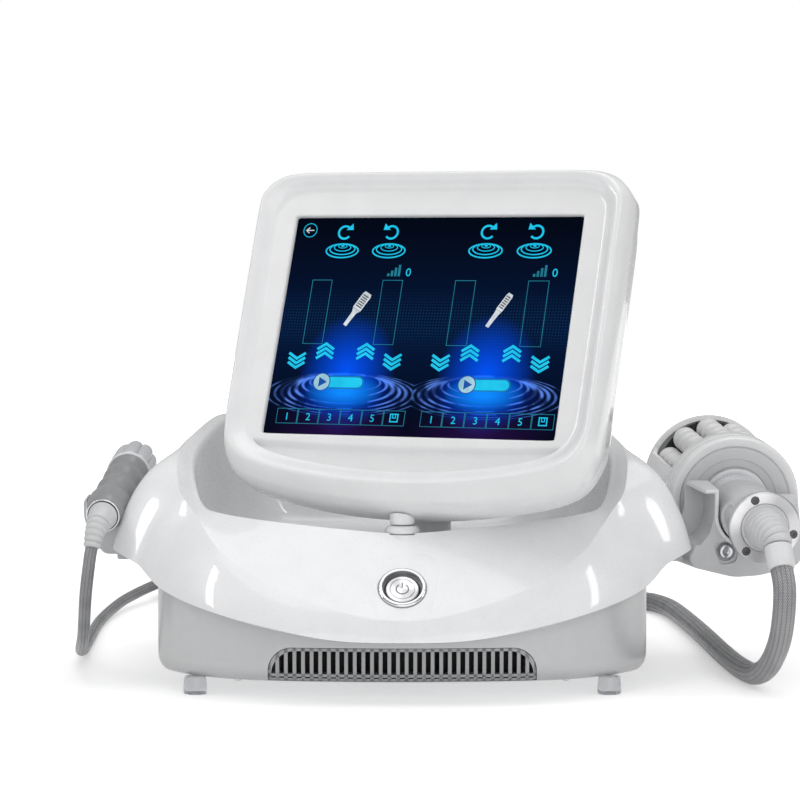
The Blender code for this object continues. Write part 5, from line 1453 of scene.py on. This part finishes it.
relief_line = [body_end + Vector(k) for k in (
    (-0.0003, 0.0030, 0.0003), (0.0005, -0.0050, -0.0005), (0.0016, -0.0125, -0.0017),
    (0.0034, -0.0185, -0.0038))]
relief_line += [collar_start - collar_run * 0.004, collar_start - collar_run * fit_gap * 2.5]
relief_form = ribbed("body_strain_relief", relief_line, 0.0149, 0.0094, 6, 0.22, 0.28)
body_relief = piece("body_strain_relief", relief_form, "body_handpiece", relief_rubber,
                    "body_strain_relief", slot="pale_rubber")
piece("relief_seat", turned("relief_seat", [
    (0.0140, -0.0007), (0.0155, -0.0007), (0.0159, -0.0003), (0.0159, 0.0002), (0.0148, 0.0002),
    (0.0148, 0.0030), (0.0140, 0.0030)], body_grip, 96, 0.0002, closed=True), "body_handpiece",
    relief_rubber, slot="pale_rubber")
collar_form = turned("body_hose_collar", [
    (0, 0), (0.0088, 0), (0.0092, 0.0014), (0.0091, 0.0120), (0.0086, 0.0160), (0.0080, 0.0165),
    (0, 0.0165)], along(collar_start, collar_run, (0, 1, 0)), 64, 0.0005)
body_collar = piece("body_hose_collar", collar_form, "body_handpiece", collar_white, "body_hose_collar",
                    slot="pale_rubber")
face_relief_line = [face_end + Vector(k) for k in (
    (0.0, -0.0003, -0.0001), (-0.0006, -0.0060, -0.0014), (-0.0020, -0.0120, -0.0048),
    (-0.0038, -0.0165, -0.0105))]
face_relief_line += [face_relief_end - face_run * reach for reach in (0.004, 0.0012, 0)]
relief_form = ribbed("face_strain_relief", face_relief_line, 0.0099, 0.0056, 5, 0.26, 0.40)
face_relief = piece("face_strain_relief", relief_form, "face_handpiece", relief_rubber,
                    "face_strain_relief", slot="pale_rubber")
print("strain reliefs", body_relief.name, face_relief.name)

# %% [markdown]
# The face roller has a soft waved grip, a plated ring at its hose end and a
# white one at its neck, a small thumb button on the side, and a barrel of eight
# lobes with deep grooves.
# %% Face roller handpiece
piece("face_chrome_ring", turned("face_chrome_ring", [
    (0.0115, 0.0030), (0.0115, 0), (0.0101, 0), (0.0101, 0.0030)], face_grip, 64, 0.0007, closed=True),
    "face_handpiece", chrome, "face_chrome_ring", slot="chrome")
swells = ((0, 0.78), (0.08, 0.93), (0.22, 1.0), (0.36, 0.79), (0.50, 0.98), (0.63, 0.78),
          (0.77, 1.0), (0.89, 0.82), (1.0, 1.02))
wave = flowing([(0, s * 0.0145, 0.0033 + a * 0.100) for a, s in swells], 0.0014)
grip_profile = [(p.y, p.z) for p in reversed(wave)] + [(0.0085, 0.0033), (0.0085, 0.1033)]
grip = turned("face_grip", grip_profile, face_grip, 64, 0.0004, closed=True)
thumb = face_grip @ shift((0.0116, 0, 0.046)) @ spun(90, "Y")
grip = cut(grip, turned("thumb_pocket", solid(0.0038, 0, 0.02), thumb, 40))
piece("face_grip", grip, "face_handpiece", grip_rubber, "face_grip", slot="grey_rubber")
piece("face_thumb_button", turned("face_thumb_button", [
    (0, 0.0009), (0.0035, 0.0009), (0.0035, 0.0034), (0.0030, 0.0039), (0.0012, 0.0036), (0, 0.0036)],
    thumb, 40, 0.0003), "face_thumb_button", black_plastic, "face_thumb_button", slot="black_plastic")
piece("face_neck_ring", turned("face_neck_ring", [
    (0.01566, 0.1066), (0.01566, 0.1054), (0.0150, 0.1051), (0.01566, 0.1048), (0.01566, 0.1036),
    (0.0085, 0.1036), (0.0085, 0.1066)], face_grip, 64, 0.0005, closed=True),
    "face_handpiece", gloss_white, "face_neck_ring", slot="gloss_white")


def lobed(swell):
    ring = []
    for i in range(128):
        turn = 2 * math.pi * i / 128
        lobe = abs(math.cos(turn * 4)) ** 0.55
        radius = 0.0160 * swell * (0.84 + 0.16 * lobe)
        ring.append((radius * math.cos(turn), radius * math.sin(turn)))
    return ring


barrel_line = flowing([
    (0.88, 0, 0.1069), (0.97, 0, 0.1079), (1.0, 0, 0.1110), (1.0, 0, 0.1250),
    (0.98, 0, 0.1340), (0.90, 0, 0.1410), (0.70, 0, 0.1455), (0.40, 0, 0.1468)], 0.02)
barrel = [[(x, y, min(p.z, 0.1469)) for x, y in lobed(min(p.x, 1.0))] for p in barrel_line]
piece("face_roller_barrel", skin("face_roller_barrel", barrel, face_grip), "face_roller", pale_silver,
      "face_roller", slot="satin_silver", sharp=45)
print("face handpiece dressed")

# %% [markdown]
# Each handpiece lies in a cradle on a short arm. The body side's cradle widens
# away from the front. A thin lip runs round each mouth, white on the body side
# and grey on the face side.
# %% Holder forms
def cradle(name, shares, half_w, drop, place, depth, flare, matrix, bore_r, arm):
    """A flared block with rounded rims, its arm joined and its mouth cut."""
    outline = softened([(-x * half_w, z * drop, 0) for x, z in shares], 0.0045, 4, True)
    middle = sum((p for p in outline), Vector()) / len(outline)
    rings = []
    for share, inset in ((0, 0.0016), (0.012, 0.0005), (0.045, 0), (0.5, 0), (0.955, 0),
                         (0.988, 0.0005), (1, 0.0016)):
        ring = []
        for p in outline:
            wide = 1 + (flare - 1) * share
            tall = 1.0 if p.y > 0 else 1 + (flare - 1) * 0.3 * share
            q = Vector((p.x * wide, p.y * tall, 0))
            away = q - Vector((middle.x, middle.y, 0))
            q -= away.normalized() * inset
            ring.append((q.x, q.y, place + depth * share))
        rings.append(ring)
    form = cut(skin(name, rings, matrix), arm, action="UNION")
    gap = turned("bore", solid(bore_r, place - depth, place + depth * 2), matrix, 96)
    mouth = block("mouth", (bore_r * 2, bore_r * 4, depth * 3),
                  matrix @ shift((0, bore_r * 2, place + depth * 0.5)), 0)
    return cut(form, gap, mouth)


def lip_band(name, bore_r, high, place, matrix, wide):
    """A thin lip that follows the mouth of a cradle."""
    band = arc_band(bore_r, bore_r + wide, 180, 360, 40)
    half = len(band) // 2
    outer = [(bore_r + wide, high)] + band[:half][::-1] + [(-bore_r - wide, high)]
    inner = [(-bore_r, high)] + band[half:][::-1] + [(bore_r, high)]
    return slab(name, outer + inner, 0.0012, matrix @ shift((0, 0, place)), 0.0003)

# %% [markdown]
# The body cradle has a recess for its bolt, and both of its sides are cut back
# towards the outline in the picture.
# %% Body holder
body_arm = block("body_arm", (0.036, 0.026, 0.0095), shift((0.1836, -0.036, 0.07425)), 0.0014)
body_shares = (
    (-0.756, 0.386), (-0.756, 0.0), (-0.805, -0.227), (-0.878, -0.477), (-1.0, -0.705),
    (-0.902, -0.841), (-0.220, -1.0), (0.220, -0.977), (0.854, -0.818), (0.951, -0.636),
    (0.878, -0.227), (0.805, 0.364),
)
body_cradle = cradle("body_holder", body_shares, 0.041, 0.044, 0.050, 0.040, 1.22, body_grip,
                     0.0213, body_arm)
bolt_spot = body_grip @ shift((0.0150, -0.0260, 0.050))
recess = slab("recess", [
    (0.0095, 0.0062), (-0.0085, 0.0085), (-0.0075, -0.0075), (0.0040, -0.0095)], 0.02,
    bolt_spot @ shift((0, 0, -0.018)), 0, 0.004)
pocket = slab("pocket", [(0.0600, 0.0142), (0.0238, 0.0142), (0.0242, -0.0040), (0.0270, -0.0140),
                         (0.0330, -0.0215), (0.0600, -0.0215)], 0.044,
              body_grip @ shift((0, 0, 0.0420)), 0, 0.0015)
low_side = block("low_side", (0.040, 0.040, 0.080),
                 body_grip @ shift((-0.0405, 0.0265, 0.0700)), 0.002)
bolt_well = turned("bolt_well", solid(0.0068, -0.010, 0.0044), bolt_spot, 40)
body_cradle = cut(body_cradle, recess, pocket, low_side, bolt_well)
piece("body_cradle", body_cradle, "base", holder_grey, "body_holder", slot="holder_grey", sharp=32)
lip_in, lip_out, lip_high = 0.0214, 0.0238, 0.0168
rim_line = [(0.0305, lip_high), (0.0305, 0.0148), (lip_out, 0.0148), (lip_out, -0.0030)]
for radius, degrees in ((lip_out, range(-12, -76, -7)), (lip_in, range(-75, 1, 7))):
    rim_line += [(radius * math.cos(math.radians(a)), radius * math.sin(math.radians(a)))
                 for a in degrees]
rim_line += [(lip_in, lip_high)]
piece("body_cradle_lip", slab("body_cradle_lip", rim_line, 0.0012,
                              body_grip @ shift((0, 0, 0.0488)), 0.0003), "base", gloss_white,
      slot="holder_grey")
bolt = turned("holder_bolt", [
    (0, -0.0003), (0.0040, -0.0003), (0.0050, 0.0008), (0.0050, 0.0037), (0, 0.0037)],
    bolt_spot, 48, 0.0005)
bolt = cut(bolt, slab("socket", hexagon(0.0026), 0.0035, bolt_spot @ shift((0, 0, -0.0010)), 0))
piece("cradle_bolt", bolt, "base", chrome, "holder_bolt", slot="chrome")
print("body holder dressed")

# %% [markdown]
# The face cradle is smaller and doesn't widen. Its lip is a thin grey band
# that follows the mouth.
# %% Face holder
face_arm = block("face_arm", (0.031, 0.0156, 0.0095), shift((-0.1811, -0.030, 0.07425)), 0.0014)
face_shares = ((-1.0, 0.111), (-1.0, -0.333), (-0.649, -0.722), (-0.324, -1.0), (0.865, -1.0),
               (0.919, -0.333), (0.973, 0.111))
face_cradle = cradle("face_holder", face_shares, 0.0185, 0.036, 0.028, 0.012, 1.0, face_grip,
                     0.01559, face_arm)
piece("face_cradle", face_cradle, "base", holder_grey, "face_holder", slot="holder_grey", sharp=32)
piece("face_cradle_lip", lip_band("face_cradle_lip", 0.0157, 0.0036, 0.0268, face_grip, 0.0016),
      "base", holder_grey, slot="holder_grey")
print("face holder dressed")

# %% [markdown]
# The back is out of view in the picture, so it follows common practice: a
# zinc plate with an inlet, a rocker, a guarded fan and two hose sockets. The
# plain blocks of the frame keep their shape there and gain their fittings.
# %% Rear plate
inlet_x, rocker_x, fan_x = -0.078, -0.104, 0.080
rear_form = block("rear_plate", (0.250, 0.002, 0.050), shift((0, rear_y - 0.001, rear_z)), 0.0005)
rear_cuts = [block("inlet_hole", (0.0276, 0.008, 0.0206), shift((inlet_x, rear_y, rear_z)), 0),
             block("rocker_hole", (0.0136, 0.008, 0.0205), shift((rocker_x, rear_y, rear_z)), 0),
             turned("fan_hole", solid(0.0188, -0.006, 0.006),
                    shift((fan_x, rear_y, rear_z)) @ back, 64)]
slot_cut = block("slot_cut", (0.0022, 0.010, 0.022), Matrix.Identity(4), 0.0008)
slots = repeated(slot_cut, 6, zinc_sheet, shift((0.0240, rear_y, rear_z)), step=(0.0050, 0, 0))
rear_form = cut(cut(rear_form, *rear_cuts), slots)
piece("rear_plate", rear_form, "base", zinc_sheet, "rear_panel", slot="tinned_steel")
pan_head = turned("pan_head", [
    (0, 0.0014), (0.0016, 0.0013), (0.0028, 0.0004), (0.0028, -0.0004), (0, -0.0004)],
    Matrix.Identity(4), 24, 0.0003)
for number, height in enumerate((0.0145, 0.0575), 1):
    piece("plate_screws_%d" % number,
          repeated(pan_head, 5, brushed, shift((-0.120, rear_y, height)) @ back,
                   step=(0.060, 0, 0)), "base", brushed, slot="brushed_steel")

print("rear plate dressed")

# %% [markdown]
# The inlet gets a raised collar with two screws. The fan gets a guard of four
# rings and four spokes, and a screw at each corner.
# %% Inlet and fan
collar_line = [(-0.0178, 0), (-0.0135, 0.0116), (0.0135, 0.0116), (0.0178, 0), (0.0135, -0.0116),
               (-0.0135, -0.0116)]
inlet_at = shift((inlet_x, rear_y + 0.0003, rear_z)) @ back
inlet_collar = cut(slab("inlet_collar", collar_line, 0.0016, inlet_at, 0.0004, 0.003),
                   block("inlet_mouth", (0.0272, 0.020, 0.0202), shift((inlet_x, rear_y, rear_z)), 0))
piece("inlet_collar", inlet_collar, "base", black_plastic, slot="black_plastic")
first_screw = shift((-0.09415, rear_y + 0.0018, rear_z)) @ back @ Matrix.Diagonal((0.62, 0.62, 0.62, 1))
piece("inlet_screws", repeated(pan_head, 2, brushed, first_screw, step=(0.0521, 0, 0)),
      "base", brushed, slot="brushed_steel")
fan_at = shift((fan_x, rear_y + 0.0012, rear_z)) @ back
wire_r = 0.0005
wires = []
for radius in (0.0050, 0.0090, 0.0130, 0.0170):
    ring = [(radius + wire_r * math.cos(math.radians(45 * k)), wire_r * math.sin(math.radians(45 * k)))
            for k in range(8)]
    wires.append(turned("guard_ring", ring, fan_at, 64, 0, closed=True))
spoke = block("spoke", (0.0155, 0.0010, 0.0010), Matrix.Identity(4), 0.0003)
wires.append(repeated(spoke, 4, brushed, fan_at, radius=0.0118))
piece("fan_guard", merged("fan_guard", *wires), "base", brushed, slot="brushed_steel")
fan_corners = shift((fan_x, rear_y + 0.0002, rear_z)) @ back @ spun(45, "Z")
piece("fan_screws", repeated(pan_head, 4, brushed, fan_corners, radius=0.0226), "base", brushed,
      slot="brushed_steel")
print("fan guard", len(wires), "parts")

# %% [markdown]
# Each hose ends in a plated socket with a knurled nut, whose ridges are one
# small bar repeated round it.
# %% Hose sockets
for name, x, radius, hose_r in (("body_hose_socket", 0.010, 0.013, 0.0075),
                                ("face_hose_socket", -0.040, 0.009, 0.00425)):
    at = shift((x, rear_y, rear_z)) @ back
    form = turned(name, [
        (0, 0.0200), (hose_r + 0.0006, 0.0200), (hose_r + 0.0006, 0.0222), (radius * 0.80, 0.0222),
        (radius * 0.86, 0.0190), (radius * 0.86, 0.0150), (radius * 0.96, 0.0140),
        (radius * 0.96, 0.0044), (radius, 0.0036), (radius, 0.0004), (0, 0.0004)], at, 64, 0.0004)
    ridge = block("ridge", (0.0010, 0.0009, 0.0090), shift((-0.0002, 0, 0.0092)), 0.0003)
    ridges = repeated(ridge, 32, chrome, at, radius=radius * 0.96)
    piece(name + "_nut", merged(name + "_nut", form, ridges), "base", chrome, name, slot="chrome")
    print(name, "dressed")

# %% [markdown]
# The fittings that the frame brings as plain blocks keep their shape and get a
# finish. Screws hold the base plate from below, the supply has rows of pores in
# its lid, and the board carries capacitors, chips and plugs.
# %% Base plate, supply and board
for surface, names in (
        (black_plastic, ("mains_inlet", "rocker_switch", "fan_frame", "fan_rotor", "power_switch_body")),
        (zinc_sheet, ("base_plate", "power_supply")),
        (board_green, ("control_board", "display_board"))):
    for name in names:
        carry(name, surface)


def top_middle(box):
    """The middle of the upper side of a piece's box."""
    low, high = box
    return (low[0] + high[0]) / 2, (low[1] + high[1]) / 2, high[2]


upside_down = Matrix.Rotation(math.pi, 4, "X")
under_screws = [repeated(pan_head, 4, brushed, shift((-0.108, y, 0.0002)) @ upside_down,
                         step=(0.072, 0, 0)) for y in (-0.126, 0.126)]
piece("under_screws", merged("under_screws", *under_screws), "base", brushed, slot="brushed_steel")
x, y, top = top_middle(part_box("power_supply"))
pore = turned("pore", [(0.0016, 0.0004), (0.0016, -0.0006), (0.0009, -0.0006), (0.0009, 0.0004)],
              Matrix.Identity(4), 16, 0.0001, closed=True)
pores = [repeated(pore, 16, black_plastic, shift((x - 0.0450, y + off, top)), step=(0.0060, 0, 0))
         for off in (-0.020, -0.014, -0.008, 0.008, 0.014, 0.020)]
piece("supply_pores", merged("supply_pores", *pores), "base", black_plastic, slot="black_plastic")
x, y, top = top_middle(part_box("control_board"))
fitted = []
for name, size, lift, edge, rounds, count, off_x, off_y, step in (
        ("capacitor", (0.009, 0.009, 0.012), 0.0062, 0.0030, 4, 5, 0.048, 0.030, 0.014),
        ("chip", (0.012, 0.012, 0.0022), 0.0013, 0.0003, 3, 4, 0.040, 0.0, 0.025),
        ("plug", (0.011, 0.006, 0.008), 0.0042, 0.0005, 3, 6, 0.046, -0.036, 0.018)):
    shape = block(name, size, shift((0, 0, lift)), edge, rounds)
    fitted.append(repeated(shape, count, black_plastic, shift((x - off_x, y + off_y, top)),
                           step=(step, 0, 0)))
piece("board_parts", merged("board_parts", *fitted), "base", black_plastic, slot="black_plastic")
print("rear and inner pieces dressed")

# %% [markdown]
# A plain studio: a pale floor that fades into a white surround, a large soft
# lamp in front and one overhead, and a tall narrow one at each side. The narrow
# ones draw the thin bright lines that a glossy shell shows along its wings.
# %% Floor and light
def flat_white(name, rgb, lift):
    """Pale matt paint that reads white to the eye and to reflections."""
    made, kit, shader = fresh(name)
    shader["Base Color"].default_value = (*rgb, 1)
    shader["Roughness"].default_value = 0.7
    glow = kit.add("Emission")
    path = kit.add("LightPath").outputs
    seen = kit.math("MAXIMUM", path["Is Camera Ray"], path["Is Glossy Ray"])
    where = kit.add("VectorMath", operation="LENGTH")
    kit.feed(where.inputs[0], kit.add("TexCoord").outputs["Object"])
    far = kit.remap(where.outputs["Value"], 0.45, 1.6, lift, 1.0)
    kit.feed(glow.inputs["Strength"], kit.math("MULTIPLY", seen, far))
    both = kit.add("AddShader")
    kit.feed(both.inputs[0], made.node_tree.nodes["Principled BSDF"].outputs[0])
    kit.feed(both.inputs[1], glow.outputs[0])
    kit.feed(made.node_tree.nodes["Material Output"].inputs["Surface"], both.outputs[0])
    return made


floor_work = bmesh.new()
bmesh.ops.create_grid(floor_work, x_segments=2, y_segments=2, size=6.0)
floor = bpy.data.objects.new("floor", to_mesh("floor", floor_work, shift((0, 0, floor_z))))
scene.collection.objects.link(floor)
floor.data.materials.append(flat_white("pale_floor", (0.86, 0.86, 0.86), 0.42))

world = bpy.data.worlds.new("studio")
scene.world = world
world.use_nodes = True
sky = Nodes(world.node_tree)
path = sky.add("LightPath").outputs
direct = sky.math("MAXIMUM", path["Is Camera Ray"], path["Is Transmission Ray"])
back_light = world.node_tree.nodes["Background"].inputs
back_light["Color"].default_value = (1, 1, 1, 1)
sky.feed(back_light["Strength"], sky.remap(direct, 0.0, 1.0, 0.46, 1.0))


def lamp(name, place, aim, size, power):
    light = bpy.data.lights.new(name, "AREA")
    light.shape = "RECTANGLE"
    light.size, light.size_y = size
    light.energy = power
    made = bpy.data.objects.new(name, light)
    scene.collection.objects.link(made)
    made.location = place
    made.rotation_euler = (Vector(aim) - Vector(place)).to_track_quat("-Z", "Y").to_euler()


lamp("front", (0.6, -2.6, 0.85), (0, 0, 0.12), (2.6, 1.5), 17)
lamp("left_strip", (-1.25, -0.57, 1.15), (0, 0, 0.12), (0.11, 0.95), 3.6)
lamp("right_strip", (1.25, -0.57, 1.15), (0, 0, 0.12), (0.11, 0.95), 2.6)
lamp("top", (0.1, -0.1, 2.0), (0, 0, 0.1), (2.2, 1.4), 14.5)

print("lamps", len(bpy.data.lights))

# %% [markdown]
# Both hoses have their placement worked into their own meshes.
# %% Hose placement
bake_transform(body_hose)
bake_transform(face_hose)
print("cords", body_hose.name, face_hose.name)
